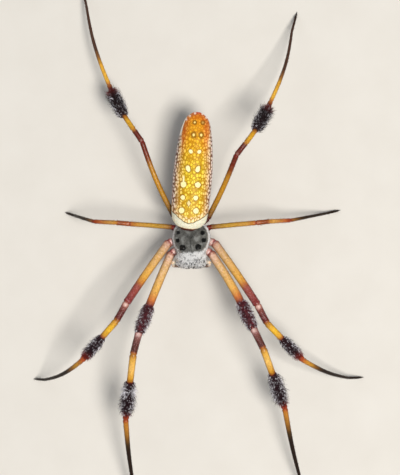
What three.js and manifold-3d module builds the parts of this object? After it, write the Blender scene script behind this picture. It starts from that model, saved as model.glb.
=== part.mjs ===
// A female golden silk orb-weaver, life size, standing still on its eight feet.
// Millimetres, +Z up, head towards -Y, so the animal's own right side is at -X.

import * as THREE from 'three';
import { mergeVertices } from 'three/addons/utils/BufferGeometryUtils.js';
import Module from 'manifold-3d';

const wasm = await Module();
wasm.setup();

// Seams between neighbouring pieces
const jointGap = 0.12;
const bodyGap = 0.1;
const eyeGap = 0.04;

// Head and thorax, front to back:
// [place along Y, half width, top, height of the widest line, underside]
const prosomaSections = [
  [-5.3, 1.5, 11.3, 10.75, 10.4],
  [-5.15, 2.2, 11.65, 10.6, 10.1],
  [-4.7, 2.76, 12.15, 10.2, 9.45],
  [-4.0, 2.92, 12.42, 9.85, 8.7],
  [-3.1, 2.92, 12.35, 9.6, 7.7],
  [-2.2, 2.72, 11.85, 9.3, 7.0],
  [-1.1, 3.35, 11.3, 9.1, 6.8],
  [0.5, 3.74, 11.2, 8.95, 6.75],
  [2.2, 3.42, 10.75, 8.9, 6.8],
  [3.5, 2.3, 9.85, 8.8, 7.2],
  [4.5, 0.8, 9.1, 8.75, 8.2],
];
const rimTuck = 0.5;
const headTubercle = { x: 1.5, y: -1.35, z: 11.08, base: 0.62, height: 0.85 };

// Abdomen, front to back along its own axis, which leans a little to +X
const abdomenStart = { x: -0.58, y: 2 };
const abdomenLength = 23.6;
const abdomenLean = 4.5;
const abdomenSections = [
  [0.0, 0.7, 12.65, 12.25, 11.85],
  [0.013, 1.5, 13.1, 12.2, 11.3],
  [0.032, 2.35, 13.5, 12.0, 10.95],
  [0.063, 3.2, 13.85, 11.5, 10.4],
  [0.089, 3.5, 14.0, 11.2, 9.7],
  [0.12, 3.64, 14.08, 11.0, 8.8],
  [0.176, 3.74, 14.2, 10.7, 7.5],
  [0.293, 3.88, 14.3, 10.4, 6.6],
  [0.49, 3.94, 14.35, 10.3, 6.3],
  [0.676, 3.66, 14.15, 10.4, 6.6],
  [0.813, 3.22, 13.8, 10.6, 7.3],
  [0.921, 2.55, 13.1, 10.8, 8.3],
  [0.98, 1.5, 12.1, 10.9, 9.6],
  [1.0, 0.5, 11.2, 10.9, 10.6],
];

const sternumSize = {
  front: -2.3, back: 2.7, shoulder: -0.6, halfWidth: 1.75, top: 6.62, thickness: 0.34, bevel: 0.06,
};
const labiumSize = { front: -3.1, halfWidth: 0.55 };
const pedicelSize = { start: 3.9, end: 6.2, radius: 0.46, z: 8.8 };

// Spinnerets: a mound this share of the way along the abdomen, and three pairs on it
const spinneretMound = { along: 0.794, z: 7.15, radius: 1.15, squash: [0.95, 1.15, 0.75] };
const spinneretSize = { base: 0.42, tip: 0.2, length: 1.25, sink: 0.35 };
const spinneretPairs = [
  { x: 0.48, y: -0.62, tilt: 12, lean: 8, size: 1 },
  { x: 0.22, y: 0.05, tilt: -10, lean: 2, size: 0.7 },
  { x: 0.46, y: 0.6, tilt: -24, lean: 10, size: 0.92 },
];
const analTubercle = { y: 1.3, base: 0.4, tip: 0.16, length: 0.8, tilt: 35 };

// One jaw, from its top down: [drop, half width, back, middle, front]
const jawPlace = { x: 0.86, y: -4.42, z: 10.6 };
const jawSections = [
  [0.0, 0.5, 0.4, 0, -0.5],
  [0.4, 0.8, 0.75, 0, -0.84],
  [1.4, 0.9, 0.85, 0, -0.98],
  [2.6, 0.84, 0.8, 0.04, -0.82],
  [3.5, 0.7, 0.68, 0.1, -0.5],
  [4.1, 0.45, 0.5, 0.15, -0.2],
];
// A fang's root and point, measured from the jaw's middle and from its lower end
const fangSize = { base: 0.27, tip: 0.1, bow: 0.15 };
const fangRoot = { aside: 0.28, back: 0.3, up: 0.3 };
const fangPoint = { aside: -0.62, back: 1.0, up: -0.32 };

// Eyes: two rows of four, seen from the middle of the head at an angle off straight
// ahead and a climb; each ball stands half out of the head
const headMiddle = [0, -3.6, 11];
const eyeRows = [
  { row: 'front', kind: 'median', aside: 14, climb: 0, radius: 0.21 },
  { row: 'back', kind: 'median', aside: 20, climb: 24, radius: 0.2 },
  { row: 'front', kind: 'lateral', aside: 56, climb: -6, radius: 0.17 },
  { row: 'back', kind: 'lateral', aside: 62, climb: 5, radius: 0.17 },
];

// Palps: knee beside the head, foot below the face
const palpJoints = [
  [1.2, -3.1, 7.1],
  [2.3, -3.95, 8.2],
  [3.65, -4.25, 9.4],
  [3.5, -4.85, 8.0],
  [2.3, -5.05, 5.9],
];
const palpRadii = [0.32, 0.36, 0.4, 0.36, 0.24];
const maxillaSize = { width: 0.5, length: 0.75, height: 0.42 };

// Legs: true lengths and half thicknesses of the segments, joint to joint.
// A brush of long hair widens a segment between two shares of its length.
const hipHeight = 8.2;
const legPairs = {
  leg1: {
    coxa: { radius: [0.8, 0.78] },
    femur: { length: 18, radius: [0.92, 0.88], brush: [0.62, 1, 1.42] },
    patella: { length: 4.25, radius: [0.8, 0.74] },
    tibia: { length: 14.35, radius: [0.76, 0.66], brush: [0.4, 0.92, 1.68] },
    metatarsus: { length: 18, radius: [0.62, 0.3] },
    tarsus: { length: 4, radius: [0.3, 0.26] },
  },
  leg2: {
    coxa: { radius: [0.8, 0.78] },
    femur: { length: 16.28, radius: [0.9, 0.83] },
    patella: { length: 4, radius: [0.76, 0.7] },
    tibia: { length: 10.9, radius: [0.7, 0.6], brush: [0.36, 0.92, 1.2] },
    metatarsus: { length: 13.8, radius: [0.54, 0.29] },
    tarsus: { length: 3.5, radius: [0.29, 0.26] },
  },
  leg3: {
    coxa: { radius: [0.64, 0.58] },
    femur: { length: 9.35, radius: [0.52, 0.5] },
    patella: { length: 2.7, radius: [0.52, 0.48] },
    tibia: { length: 5.2, radius: [0.47, 0.42] },
    metatarsus: { length: 8.8, radius: [0.38, 0.27] },
    tarsus: { length: 2.8, radius: [0.27, 0.25] },
  },
  leg4: {
    coxa: { radius: [0.64, 0.6] },
    femur: { length: 16.4, radius: [0.58, 0.54] },
    patella: { length: 2.7, radius: [0.57, 0.53] },
    tibia: { length: 12, radius: [0.54, 0.5], brush: [0.3, 0.86, 1.45] },
    metatarsus: { length: 17, radius: [0.46, 0.28] },
    tarsus: { length: 4.8, radius: [0.28, 0.26] },
  },
};
const archShare = { femur: 0.028, patella: 0.02, tibia: -0.006, metatarsus: 0.03, tarsus: 0.02 };

// Stance: where each leg leaves the body, then how each segment heads (0 is +X, 90 is +Y)
// and climbs, from femur to tarsus, and how far its middle sways to the right of its way.
// The metatarsus falls just as far as the floor asks.
const stance = [
  { leg: 'leg1', side: 'right', root: [-1.25, -1.7, 7.45], hip: [-4.75, -2.05],
    heading: [-109.1, -105, -97, -83, -78], climb: [20, 16, -21, -36],
    sway: { femur: -0.018, metatarsus: 0.015 } },
  { leg: 'leg1', side: 'left', root: [1.25, -1.7, 7.45], hip: [4.7, -2],
    heading: [-63.7, -63, -70, -77, -75], climb: [20, 11, -25, -35],
    sway: { metatarsus: 0.015 } },
  { leg: 'leg2', side: 'right', root: [-1.5, -0.2, 7.45], hip: [-5.2, 0.15],
    heading: [-121.4, -119, -131, -152, 178], climb: [28, 8, -14, -57],
    sway: { femur: -0.021, metatarsus: -0.045 } },
  { leg: 'leg2', side: 'left', root: [1.5, -0.2, 7.45], hip: [5.45, 0.15],
    heading: [-59.1, -63, -46, -22, 1], climb: [25, 1, -18, -40],
    sway: { femur: 0.024, metatarsus: 0.035 } },
  { leg: 'leg3', side: 'right', root: [-1.4, 1.2, 7.45], hip: [-3.65, 2.8],
    heading: [176, 175, 177, 163, 162], climb: [24, 14, -29, -55],
    sway: {} },
  { leg: 'leg3', side: 'left', root: [1.4, 1.2, 7.45], hip: [3.6, 2.8],
    heading: [5, 6, 3, 11, 13], climb: [6, 1, -37, -25],
    sway: {} },
  { leg: 'leg4', side: 'right', root: [-1.0, 2.6, 7.45], hip: [-3.4, 4.8],
    heading: [113, 125, 119, 106, 103], climb: [11, 6, -28, -29],
    sway: { femur: -0.025, tibia: -0.03, metatarsus: -0.035 } },
  { leg: 'leg4', side: 'left', root: [1.0, 2.6, 7.45], hip: [3.35, 4.5],
    heading: [66, 51, 59, 73, 75], climb: [34, 12, -33, -35],
    sway: { femur: 0.015, tibia: 0.03, metatarsus: 0.04 } },
];
const tipHeight = 0.12;

// A segment's end bulges out by this share of its half thickness. A brush reaches its full
// width within the first of these shares of the segment, and loses it within the second.
const endCap = 0.8;
const brushRamp = [0.09, 0.1];

const finish = {
  silver: { color: 0x9a9c9e, roughness: 0.75 },
  plate: { color: 0x5a4030, roughness: 0.45 },
  gold: { color: 0xe0a01a, roughness: 0.4 },
  flank: { color: 0x8a5a34, roughness: 0.5 },
  fangBlack: { color: 0x15100e, roughness: 0.25 },
  cream: { color: 0xd8c4a4, roughness: 0.5 },
  eye: { color: 0x0c0a0a, roughness: 0.08 },
  coxaPink: { color: 0xa86a58, roughness: 0.4 },
  femurOchre: { color: 0xd89a30, roughness: 0.35 },
  tibiaBrush: { color: 0x2c1c26, roughness: 0.6 },
  darkFoot: { color: 0x241812, roughness: 0.4 },
};

const spider = new THREE.Group();
const degrees = THREE.MathUtils.degToRad;

// A closed geometry becomes a solid, once its doubled vertices are one
function solidOf(geometry) {
  const shape = geometry.clone();
  shape.deleteAttribute('normal');
  shape.deleteAttribute('uv');
  const merged = mergeVertices(shape, 1e-4);
  const vertProperties = new Float32Array(merged.attributes.position.array);
  const triVerts = new Uint32Array(merged.index.array);
  return new wasm.Manifold(new wasm.Mesh({ numProp: 3, vertProperties, triVerts }));
}

// A finished solid joins the spider under its own name
function addPart(name, solid, look) {
  const { vertProperties, triVerts, numProp } = solid.getMesh();
  const geometry = new THREE.BufferGeometry();
  const positions = new Float32Array((vertProperties.length / numProp) * 3);
  for (let i = 0; i < positions.length / 3; i += 1) {
    positions.set(vertProperties.subarray(i * numProp, i * numProp + 3), i * 3);
  }
  geometry.setAttribute('position', new THREE.BufferAttribute(positions, 3));
  geometry.setIndex(new THREE.BufferAttribute(new Uint32Array(triVerts), 1));
  geometry.computeVertexNormals();
  const material = new THREE.MeshStandardMaterial({ metalness: 0, ...look });
  const mesh = new THREE.Mesh(geometry, material);
  mesh.name = name;
  spider.add(mesh);
}

function directionOf(heading, climb) {
  const flat = Math.cos(degrees(climb));
  return new THREE.Vector3(
    flat * Math.cos(degrees(heading)),
    flat * Math.sin(degrees(heading)),
    Math.sin(degrees(climb)),
  );
}

// Keeps the part of a solid that lies past a plane, on the side its normal points to
function keepPast(solid, normal, point, gap = 0) {
  return solid.trimByPlane(normal.toArray(), normal.dot(point) + gap / 2);
}

// A body lofted through sections along Y: squareness above 1 fills out its shoulders, and
// tuck draws it in below its widest line
function loftedBody(sections, rings, sides, { grow = 0, squareness = 1, tuck = 0 } = {}) {
  const size = sections[0].length - 1;
  const places = sections.map((section) => section[0]);
  const values = sections.flatMap((section) => section.slice(1));
  const along = new THREE.CubicInterpolant(places, values, size, new Float64Array(size));
  const first = places[0];
  const last = places[places.length - 1];
  const profile = [new THREE.Vector2(0, first - grow)];
  for (let ring = 0; ring <= rings; ring += 1) {
    const share = (1 - Math.cos((Math.PI * ring) / rings)) / 2;
    profile.push(new THREE.Vector2(1, THREE.MathUtils.lerp(first, last, share)));
  }
  profile[1].y -= grow;
  profile[rings + 1].y += grow;
  profile.push(new THREE.Vector2(0, last + grow));

  const geometry = new THREE.LatheGeometry(profile, sides);
  const position = geometry.attributes.position;
  for (let i = 0; i < position.count; i += 1) {
    const y = position.getY(i);
    const inside = THREE.MathUtils.clamp(y, first, last);
    const [halfWidth, top, middle, underside] = along.evaluate(inside);
    const across = Math.sign(position.getX(i)) * Math.abs(position.getX(i)) ** (1 / squareness);
    const up = Math.sign(position.getZ(i)) * Math.abs(position.getZ(i)) ** (1 / squareness);
    const rise = up > 0 ? top - middle + grow : middle - underside + grow;
    const drawnIn = 1 - tuck * Math.sqrt(Math.max(-up, 0));
    position.setXYZ(i, across * (halfWidth * drawnIn + grow), y, middle + up * rise);
  }
  return geometry;
}

// A limb segment from one joint to the next, widened where it has a brush. Its middle
// arches up and sways aside by shares of its length.
function limbSegment(from, to, { radius, brush }, { sides, steps }, arch = 0, sway = 0) {
  const length = from.distanceTo(to);
  const girth = (share) => {
    const bare = THREE.MathUtils.lerp(radius[0], radius[1], share);
    if (!brush) return bare;
    const [start, end, width] = brush;
    const rise = THREE.MathUtils.smoothstep(share, start, start + brushRamp[0]);
    const fall = 1 - THREE.MathUtils.smoothstep(share, end - brushRamp[1], end);
    return bare + (width - bare) * rise * fall;
  };
  const profile = [new THREE.Vector2(0, -radius[0] * endCap)];
  for (let step = 0; step <= steps; step += 1) {
    const share = step / steps;
    profile.push(new THREE.Vector2(girth(share), length * share));
  }
  profile.push(new THREE.Vector2(0, length + radius[1] * endCap));

  const geometry = new THREE.LatheGeometry(profile, sides);
  const position = geometry.attributes.position;
  for (let i = 0; i < position.count; i += 1) {
    const share = THREE.MathUtils.clamp(position.getY(i) / length, 0, 1);
    const bend = length * Math.sin(Math.PI * share);
    position.setX(i, position.getX(i) + sway * bend);
    position.setZ(i, position.getZ(i) + arch * bend);
  }
  const forward = to.clone().sub(from).normalize();
  const aside = forward.clone().cross(new THREE.Vector3(0, 0, 1)).normalize();
  const above = aside.clone().cross(forward);
  const place = new THREE.Matrix4().makeBasis(aside, forward, above).setPosition(from);
  return geometry.applyMatrix4(place);
}

// ---- Head and thorax: one silver-haired capsule ----

function prosomaGeometry(grow = 0) {
  return loftedBody(prosomaSections, 13, 20, { grow, squareness: 1.12, tuck: rimTuck });
}

function prosoma(grow = 0) {
  return solidOf(prosomaGeometry(grow));
}

function carapace() {
  let shell = prosoma();
  for (const side of [-1, 1]) {
    const cone = new THREE.ConeGeometry(headTubercle.base, headTubercle.height, 8);
    cone.rotateX(Math.PI / 2);
    cone.translate(side * headTubercle.x, headTubercle.y, headTubercle.z);
    shell = shell.add(solidOf(cone));
  }
  return shell;
}

// ---- Abdomen: a long cylinder, its front end hanging over the thorax ----

function abdomen(grow = 0) {
  const sections = abdomenSections.map(([share, ...rest]) => [share * abdomenLength, ...rest]);
  const geometry = loftedBody(sections, 16, 20, { grow, squareness: 1.06 });
  geometry.rotateZ(degrees(-abdomenLean));
  geometry.translate(abdomenStart.x, abdomenStart.y, 0);
  return solidOf(geometry);
}

function pedicel() {
  const { start, end, radius, z } = pedicelSize;
  const waist = new THREE.CylinderGeometry(radius, radius, end - start, 12);
  waist.translate(0, (start + end) / 2, z);
  return solidOf(waist).subtract(prosoma(bodyGap)).subtract(abdomen(bodyGap));
}

// Six spinnerets and the anal tubercle stand on one low mound under the abdomen
function spinnerets() {
  const { along, z, radius, squash } = spinneretMound;
  const { base, tip, length, sink } = spinneretSize;
  const mound = new THREE.SphereGeometry(radius, 10, 6);
  mound.scale(...squash);
  let cluster = solidOf(mound);
  for (const { x, y, tilt, lean, size } of spinneretPairs) {
    for (const side of [-1, 1]) {
      const cone = new THREE.CylinderGeometry(base * size, tip, length * size, 6);
      cone.translate(0, (-length * size) / 2, 0);
      cone.rotateX(degrees(90 + tilt));
      cone.rotateY(degrees(-side * lean));
      cone.translate(side * x, y, -sink);
      cluster = cluster.add(solidOf(cone));
    }
  }
  const tubercle = new THREE.CylinderGeometry(
    analTubercle.base, analTubercle.tip, analTubercle.length, 6);
  tubercle.rotateX(degrees(analTubercle.tilt));
  tubercle.translate(0, analTubercle.y, -sink);
  cluster = cluster.add(solidOf(tubercle));

  const distance = along * abdomenLength;
  const x = abdomenStart.x + distance * Math.sin(degrees(abdomenLean));
  const y = abdomenStart.y + distance * Math.cos(degrees(abdomenLean));
  return cluster.rotate([0, 0, -abdomenLean]).translate([x, y, z]).subtract(abdomen(bodyGap));
}

// ---- Underside plates: the heart-shaped sternum with the labium at its front ----

function sternum() {
  const { front, back, shoulder, halfWidth, top, thickness, bevel } = sternumSize;
  const lip = labiumSize.halfWidth;
  const outline = new THREE.Shape();
  outline.moveTo(0, back);
  outline.bezierCurveTo(-0.5, back - 0.6, -halfWidth, 1.2, -halfWidth, shoulder);
  outline.bezierCurveTo(-halfWidth, shoulder - 1, -1.2, front, -lip, front);
  outline.quadraticCurveTo(-lip, labiumSize.front, 0, labiumSize.front);
  outline.quadraticCurveTo(lip, labiumSize.front, lip, front);
  outline.bezierCurveTo(1.2, front, halfWidth, shoulder - 1, halfWidth, shoulder);
  outline.bezierCurveTo(halfWidth, 1.2, 0.5, back - 0.6, 0, back);
  const plate = new THREE.ExtrudeGeometry(outline, {
    depth: thickness - 2 * bevel,
    curveSegments: 4,
    bevelEnabled: true,
    bevelThickness: bevel,
    bevelSize: bevel,
    bevelOffset: -bevel,
    bevelSegments: 1,
  });
  plate.translate(0, 0, top - thickness + bevel);
  return solidOf(plate);
}

// ---- Jaws: two stout chelicerae, each with a folded fang ----

function chelicera(side, grow = 0) {
  const jaw = loftedBody(jawSections, 9, 12, { grow });
  jaw.rotateX(-Math.PI / 2);
  jaw.translate(side * jawPlace.x, jawPlace.y, jawPlace.z);
  const inner = new THREE.Vector3(side, 0, 0);
  const wall = inner.clone().multiplyScalar(bodyGap / 2);
  return keepPast(solidOf(jaw), inner, wall).subtract(prosoma(bodyGap));
}

// The fang hinges at the outer lower corner and folds towards the middle
function fang(side) {
  const { base, tip, bow } = fangSize;
  const low = jawPlace.z - jawSections[jawSections.length - 1][0];
  const [root, point] = [fangRoot, fangPoint].map(({ aside, back, up }) => (
    new THREE.Vector3(side * (jawPlace.x + aside), jawPlace.y + back, low + up)));
  const horn = limbSegment(root, point, { radius: [base, tip] }, { sides: 7, steps: 4 }, -bow);
  return solidOf(horn).subtract(chelicera(side, bodyGap));
}

// ---- Palps: a maxilla beside the mouth, then a short folded limb ----

function palp(side) {
  const joints = palpJoints.map(([x, y, z]) => new THREE.Vector3(side * x, y, z));
  const { width, length, height } = maxillaSize;
  const lobe = new THREE.SphereGeometry(1, 8, 6);
  lobe.scale(width, length, height);
  lobe.translate(joints[0].x, joints[0].y, joints[0].z);
  let limb = solidOf(lobe);
  for (let i = 0; i + 1 < joints.length; i += 1) {
    const shape = { radius: [palpRadii[i], palpRadii[i + 1]] };
    const segment = limbSegment(joints[i], joints[i + 1], shape, { sides: 7, steps: 1 });
    limb = limb.add(solidOf(segment));
  }
  return limb.subtract(prosoma(bodyGap));
}

// ---- Eyes: eight small domes let into the head ----

const headSkin = new THREE.Mesh(prosomaGeometry());

function eye(side, { aside, climb, radius }) {
  const middle = new THREE.Vector3(...headMiddle);
  const way = directionOf(-90 + side * aside, climb);
  const ray = new THREE.Raycaster(middle.clone().addScaledVector(way, 20), way.clone().negate());
  const [{ point }] = ray.intersectObject(headSkin);
  const ball = new THREE.SphereGeometry(radius, 8, 5);
  ball.translate(point.x, point.y, point.z);
  return solidOf(ball).subtract(prosoma(eyeGap));
}

// ---- Legs ----

const segmentOrder = ['coxa', 'femur', 'patella', 'tibia', 'metatarsus', 'tarsus'];
const segmentDetail = {
  coxa: { sides: 8, steps: 1 },
  femur: { sides: 8, steps: 7 },
  patella: { sides: 8, steps: 1 },
  tibia: { sides: 8, steps: 8 },
  metatarsus: { sides: 7, steps: 4 },
  tarsus: { sides: 7, steps: 2 },
};

// The joints of one leg from its root at the body to its foot, which meets the floor
function legJoints(pair, { root, hip, heading, climb }) {
  const joints = [new THREE.Vector3(...root), new THREE.Vector3(...hip, hipHeight)];
  const [femurClimb, patellaClimb, tibiaClimb, tarsusClimb] = climb;
  const step = (segment, turn, rise) => {
    const way = directionOf(turn, rise).multiplyScalar(pair[segment].length);
    joints.push(joints[joints.length - 1].clone().add(way));
  };
  step('femur', heading[0], femurClimb);
  step('patella', heading[1], patellaClimb);
  step('tibia', heading[2], tibiaClimb);
  const ankle = joints[joints.length - 1].z;
  const tarsusDrop = -pair.tarsus.length * Math.sin(degrees(tarsusClimb));
  const drop = ankle - tarsusDrop - tipHeight;
  const metatarsusClimb = -THREE.MathUtils.radToDeg(Math.asin(drop / pair.metatarsus.length));
  step('metatarsus', heading[3], metatarsusClimb);
  step('tarsus', heading[4], tarsusClimb);
  return joints;
}

// Each segment stops at the plane that halves the bend of its joint, but patella and
// tibia stay one piece, and the tarsus is cut flat by the floor
function legSegments(pair, place) {
  const joints = legJoints(pair, place);
  const ways = segmentOrder.map((_, i) => joints[i + 1].clone().sub(joints[i]).normalize());
  const up = new THREE.Vector3(0, 0, 1);
  return segmentOrder.map((segment, i) => {
    const shape = limbSegment(joints[i], joints[i + 1], pair[segment], segmentDetail[segment],
      archShare[segment], place.sway[segment]);
    let solid = solidOf(shape);
    if (i > 0 && segment !== 'tibia') {
      const bend = ways[i - 1].clone().add(ways[i]).normalize();
      solid = keepPast(solid, bend, joints[i], jointGap);
    }
    if (i + 1 < ways.length && segment !== 'patella') {
      const bend = ways[i].clone().add(ways[i + 1]).normalize().negate();
      solid = keepPast(solid, bend, joints[i + 1], jointGap);
    }
    return segment === 'tarsus' ? keepPast(solid, up, new THREE.Vector3()) : solid;
  });
}

function addLeg(place) {
  const pair = legPairs[place.leg];
  const [coxa, femur, patella, tibia, metatarsus, tarsus] = legSegments(pair, place);
  const name = `${place.leg}_${place.side}`;
  addPart(`${name}_coxa`, coxa.subtract(prosoma(bodyGap)), finish.coxaPink);
  addPart(`${name}_femur`, femur, finish.femurOchre);
  addPart(`${name}_patella_tibia`, patella.add(tibia), finish.tibiaBrush);
  addPart(`${name}_metatarsus`, metatarsus, finish.darkFoot);
  addPart(`${name}_tarsus`, tarsus, finish.darkFoot);
}

// ---- The whole animal ----

const bodySides = [
  { name: 'right', sign: -1 },
  { name: 'left', sign: 1 },
];

addPart('carapace', carapace(), finish.silver);
addPart('sternum', sternum(), finish.plate);
addPart('pedicel', pedicel(), finish.plate);
addPart('abdomen', abdomen(), finish.gold);
addPart('spinnerets', spinnerets(), finish.flank);
for (const { name, sign } of bodySides) {
  addPart(`chelicera_${name}`, chelicera(sign), finish.fangBlack);
  addPart(`fang_${name}`, fang(sign), finish.fangBlack);
  addPart(`palp_${name}`, palp(sign), finish.cream);
  for (const place of eyeRows) {
    addPart(`eye_${place.row}_${place.kind}_${name}`, eye(sign, place), finish.eye);
  }
}
stance.forEach(addLeg);

// The frame's origin lies under the middle of the whole stance, on the floor
const extent = new THREE.Box3().setFromObject(spider);
const middle = extent.getCenter(new THREE.Vector3());
spider.position.set(-middle.x, -middle.y, 0);

export default spider;
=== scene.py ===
import math

import bmesh
import bpy
import numpy as np
from mathutils import Matrix, Vector
from mathutils.bvhtree import BVHTree


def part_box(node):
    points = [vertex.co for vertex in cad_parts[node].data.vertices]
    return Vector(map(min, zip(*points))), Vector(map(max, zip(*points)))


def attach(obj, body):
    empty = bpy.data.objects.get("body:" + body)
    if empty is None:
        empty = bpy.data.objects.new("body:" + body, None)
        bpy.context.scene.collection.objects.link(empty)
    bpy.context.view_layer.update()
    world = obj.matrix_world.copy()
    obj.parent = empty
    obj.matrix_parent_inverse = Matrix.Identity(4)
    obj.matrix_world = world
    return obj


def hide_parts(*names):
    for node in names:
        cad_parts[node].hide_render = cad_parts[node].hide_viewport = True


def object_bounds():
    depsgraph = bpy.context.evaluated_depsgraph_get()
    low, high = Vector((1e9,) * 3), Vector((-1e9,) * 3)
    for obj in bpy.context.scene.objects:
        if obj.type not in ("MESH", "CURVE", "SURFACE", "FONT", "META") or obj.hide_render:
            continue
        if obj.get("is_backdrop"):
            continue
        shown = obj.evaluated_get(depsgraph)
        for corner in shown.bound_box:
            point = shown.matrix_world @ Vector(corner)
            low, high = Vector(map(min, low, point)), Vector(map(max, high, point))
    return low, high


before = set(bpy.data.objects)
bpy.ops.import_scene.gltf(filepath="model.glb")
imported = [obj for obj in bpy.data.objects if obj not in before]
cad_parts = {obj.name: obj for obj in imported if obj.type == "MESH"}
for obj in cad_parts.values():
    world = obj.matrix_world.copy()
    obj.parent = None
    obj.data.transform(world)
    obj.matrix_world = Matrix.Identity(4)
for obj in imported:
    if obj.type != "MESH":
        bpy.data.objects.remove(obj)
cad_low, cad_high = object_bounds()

mm = 0.001


# ---- Floor, lamps and camera ----
# The model stands on a pale matt table top under a wide soft lamp, with a weaker one across
# from it. The camera looks straight down through a long lens, the head at the bottom.

class Signal:
    """A socket of a finish. Arithmetic on it adds Math nodes."""

    def __init__(self, finish, socket):
        self.finish = finish
        self.socket = socket

    def math(self, operation, *values):
        return self.finish.math(operation, *values)

    def __add__(self, other):
        return self.math("ADD", self, other)

    def __radd__(self, other):
        return self.math("ADD", other, self)

    def __sub__(self, other):
        return self.math("SUBTRACT", self, other)

    def __rsub__(self, other):
        return self.math("SUBTRACT", other, self)

    def __mul__(self, other):
        return self.math("MULTIPLY", self, other)

    def __rmul__(self, other):
        return self.math("MULTIPLY", other, self)

    def __truediv__(self, other):
        return self.math("DIVIDE", self, other)

    def __pow__(self, other):
        return self.math("POWER", self, other)

    def __abs__(self):
        return self.math("ABSOLUTE", self)

    def most(self, other):
        return self.math("MAXIMUM", self, other)

    def step(self, start, end):
        """0 before start and 1 after end, or the other way round where end is lower."""
        settings = {"interpolation_type": "SMOOTHSTEP"}
        inputs = {"Value": self, "From Min": start, "From Max": end}
        return self.finish.node("ShaderNodeMapRange", settings, inputs)


def paint(code):
    """A colour from its six-figure code, as the shaders take it."""
    parts = [int(code[i:i + 2], 16) / 255 for i in (1, 3, 5)]
    return (*(c / 12.92 if c <= 0.04045 else ((c + 0.055) / 1.055) ** 2.4 for c in parts), 1)


class Finish:
    """A material being mixed for one kind of surface."""

    def __init__(self, name, constants):
        self.material = bpy.data.materials.new(name)
        self.material.use_nodes = True
        self.tree = self.material.node_tree
        self.shader = self.tree.nodes["Principled BSDF"]
        for label, value in constants.items():
            self.feed(self.shader.inputs[label], value)

    def feed(self, socket, value):
        if isinstance(value, Signal):
            self.tree.links.new(value.socket, socket)
        else:
            socket.default_value = paint(value) if isinstance(value, str) else value

    def node(self, kind, settings, inputs, output=0):
        """Adds a node: its settings first, then the values or links of its sockets."""
        made = self.tree.nodes.new(kind)
        for label, value in settings.items():
            if label == "stops":
                while len(made.color_ramp.elements) < len(value):
                    made.color_ramp.elements.new(1)
                for element, (place, colour) in zip(made.color_ramp.elements, value):
                    element.position = place
                    element.color = paint(colour)
            else:
                setattr(made, label, value)
        for label, value in inputs.items():
            self.feed(made.inputs[label], value)
        return Signal(self, made.outputs[output])

    def math(self, operation, *values):
        return self.node("ShaderNodeMath", {"operation": operation}, dict(enumerate(values)))

    def place(self):
        return self.node("ShaderNodeTexCoord", {}, {}, "Object")

    def field(self, name):
        return self.node("ShaderNodeAttribute", {"attribute_name": name}, {}, "Fac")

    def axes(self, vector):
        """The three parts of a vector."""
        parts = self.node("ShaderNodeSeparateXYZ", {}, {"Vector": vector}).socket.node.outputs
        return [Signal(self, parts[axis]) for axis in "XYZ"]

    def noise(self, where, size, detail=3.0):
        inputs = {"Vector": where, "Scale": 1 / size, "Detail": detail}
        return self.node("ShaderNodeTexNoise", {}, inputs)

    def cells(self, where, size, uneven, output="Distance", feature="F1", dimensions="3D"):
        """Scattered cells: how far a point lies from a cell's heart, or the cell's own colour."""
        settings = {"feature": feature, "voronoi_dimensions": dimensions}
        inputs = {"Vector": where, "Scale": 1 / size, "Randomness": uneven}
        return self.node("ShaderNodeTexVoronoi", settings, inputs, output)

    def blend(self, share, under, over, way="MIX"):
        settings = {"data_type": "RGBA", "blend_type": way}
        return self.node("ShaderNodeMix", settings, {0: share, 6: under, 7: over}, 2)

    def layers(self, colour, *tints):
        """Tints laid over a colour in turn, each by its own share."""
        for share, over in tints:
            colour = self.blend(share, colour, over)
        return colour

    def ramp(self, value, stops):
        return self.node("ShaderNodeValToRGB", {"stops": stops}, {"Fac": value})

    def finish(self, colour, roughness, height, depth):
        """Feeds the shader its colour and roughness, and a bump of a height field."""
        bump = self.node("ShaderNodeBump", {}, {"Height": height, "Distance": depth})
        self.feed(self.shader.inputs["Base Color"], colour)
        self.feed(self.shader.inputs["Roughness"], roughness)
        self.feed(self.shader.inputs["Normal"], bump)
        return self.material


def put_in_scene(name, data):
    """Puts a mesh, a lamp or a camera in the scene."""
    stood = bpy.data.objects.new(name, data)
    bpy.context.scene.collection.objects.link(stood)
    return stood


def smooth_piece(name, mesh, finish):
    mesh.polygons.foreach_set("use_smooth", [True] * len(mesh.polygons))
    mesh.materials.append(finish)
    return put_in_scene(name, mesh)


def piece_from(shape, name, finish):
    """A finished bmesh becomes a smooth-shaded piece."""
    mesh = bpy.data.meshes.new(name)
    shape.to_mesh(mesh)
    shape.free()
    return smooth_piece(name, mesh, finish)


def table_top():
    table = Finish("table_top", {"Specular IOR Level": 0.2})
    grain = table.noise(table.place(), 9 * mm)
    colour = table.blend(grain, "#CFCBC4", "#D8D5CF")
    return table.finish(colour, 0.75 + 0.1 * grain, grain, 0.05 * mm)


floor_half = 700 * mm
shape = bmesh.new()
bmesh.ops.create_grid(shape, x_segments=2, y_segments=2, size=floor_half)
floor = piece_from(shape, "floor", table_top())
floor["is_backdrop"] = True


def lamp(name, place, target, size, power, colour):
    light = bpy.data.lights.new(name, "AREA")
    light.shape = "SQUARE"
    light.size = size
    light.energy = power
    light.color = colour
    holder = put_in_scene(name, light)
    holder.location = place
    holder.rotation_euler = (target - place).to_track_quat("-Z", "Y").to_euler()


middle = (cad_low + cad_high) / 2
lamp("key_lamp", Vector((0.16, -0.1, 0.64)), middle,
     size=0.24, power=4.6, colour=(1.0, 0.96, 0.9))
lamp("fill_lamp", Vector((-0.4, 0.4, 0.45)), middle,
     size=0.5, power=0.7, colour=(0.9, 0.95, 1.0))
bpy.context.scene.view_settings.view_transform = "Standard"

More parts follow.
